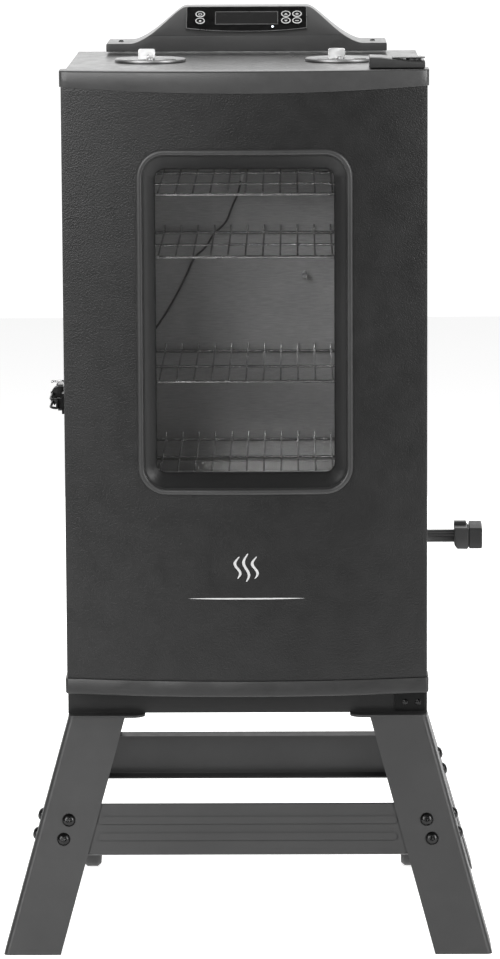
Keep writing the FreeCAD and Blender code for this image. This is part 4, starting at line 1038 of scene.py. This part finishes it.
FLOOR = {"near": -1.5, "far": 6.5, "half_width": 7.0, "glow": 0.72}
ROOM_LIGHT = 0.16
CAMERA_EXTRA = 1.0
MID_HEIGHT = (0, 0, 0.75)
LIGHTS = [  # name, place, target, width, height, watts
    ("left_box", (-2.9, -3.4, 2.3), MID_HEIGHT, 1.5, 2.8, 145),
    ("right_box", (3.3, -2.6, 2.1), MID_HEIGHT, 1.5, 2.8, 150),
    ("overhead", (0.0, 2.2, 4.0), (0, 0, 0.8), 3.0, 1.6, 40),
    ("back_panel", (0.0, 3.4, 2.6), (0, 0, 2.6), 9.0, 5.2, 225),
    ("front_fill", (-1.7, -6.4, 2.7), MID_HEIGHT, 1.8, 1.4, 105),
]


def stage_material(name, value):
    """Pale paper that shines a little, so that the floor stays as light as the room behind it."""
    s = Shader(name)
    s.blend(s.noise(2, 2, 0.5), tone(value * 0.99), tone(value))
    s.bsdf.inputs["Emission Color"].default_value = (1, 1, 1, 1)
    sheen = s.spread(s.noise(20, 3), 0.75, 0.85)
    return s.finish(sheen, s.bump(s.noise(200, 2), 0.0001), Emission_Strength=FLOOR["glow"])


def make_floor():
    """A plain pale floor; the room round it looks white too, so its edges don't show."""
    near, far, wide = FLOOR["near"], FLOOR["far"], FLOOR["half_width"]
    mesh = bpy.data.meshes.new("studio_floor")
    mesh.from_pydata([(-wide, near, 0), (wide, near, 0), (wide, far, 0), (-wide, far, 0)], [], [(0, 1, 2, 3)])
    item = bpy.data.objects.new("studio_floor", mesh)
    bpy.context.scene.collection.objects.link(item)
    mesh.materials.append(stage_material("studio_paper", 0.92))


def soft_light(name, place, target, wide, tall, power):
    """A rectangular soft box that the camera doesn't see."""
    light = bpy.data.lights.new(name, "AREA")
    light.shape = "RECTANGLE"
    light.size, light.size_y = wide, tall
    light.energy = power
    item = bpy.data.objects.new(name, light)
    item.location = place
    item.rotation_euler = (Vector(target) - Vector(place)).to_track_quat("-Z", "Y").to_euler()
    item.visible_camera = False
    bpy.context.scene.collection.objects.link(item)


def make_light():
    """Soft boxes and a wide panel behind, in a dim room that only the camera sees as white."""
    world = bpy.data.worlds.new("studio")
    world.use_nodes = True
    sky = world.node_tree.nodes["Background"]
    sky.inputs["Color"].default_value = (1, 1, 1, 1)
    rays = world.node_tree.nodes.new("ShaderNodeLightPath")
    strength = world.node_tree.nodes.new("ShaderNodeMath")
    strength.operation = "MULTIPLY_ADD"
    strength.inputs[1].default_value = CAMERA_EXTRA
    strength.inputs[2].default_value = ROOM_LIGHT
    world.node_tree.links.new(rays.outputs["Is Camera Ray"], strength.inputs[0])
    world.node_tree.links.new(strength.outputs[0], sky.inputs["Strength"])
    bpy.context.scene.world = world
    for light in LIGHTS:
        soft_light(*light)


CAMERA = {
    "place": (0.060, -5.874, 1.502),
    "down": math.radians(8.98),
    "turn": math.radians(0.556),
    "roll": math.radians(-0.29),
    "lens": 169.6,
    "sensor": 36.0,
    "far": 60,
}


def make_camera():
    """A long lens from in front, a little above the object's top and tilted down at it."""
    data = bpy.data.cameras.new("view")
    data.lens = CAMERA["lens"]
    data.sensor_width = CAMERA["sensor"]
    data.clip_end = CAMERA["far"]
    camera = bpy.data.objects.new("view", data)
    camera.location = CAMERA["place"]
    aim = Euler((math.radians(90) - CAMERA["down"], 0, CAMERA["turn"])).to_matrix()
    camera.rotation_euler = (aim @ Matrix.Rotation(CAMERA["roll"], 3, "Z")).to_euler()
    bpy.context.scene.collection.objects.link(camera)
    bpy.context.scene.camera = camera


make_floor()
make_light()
make_camera()
bpy.context.scene.view_settings.view_transform = "Standard"
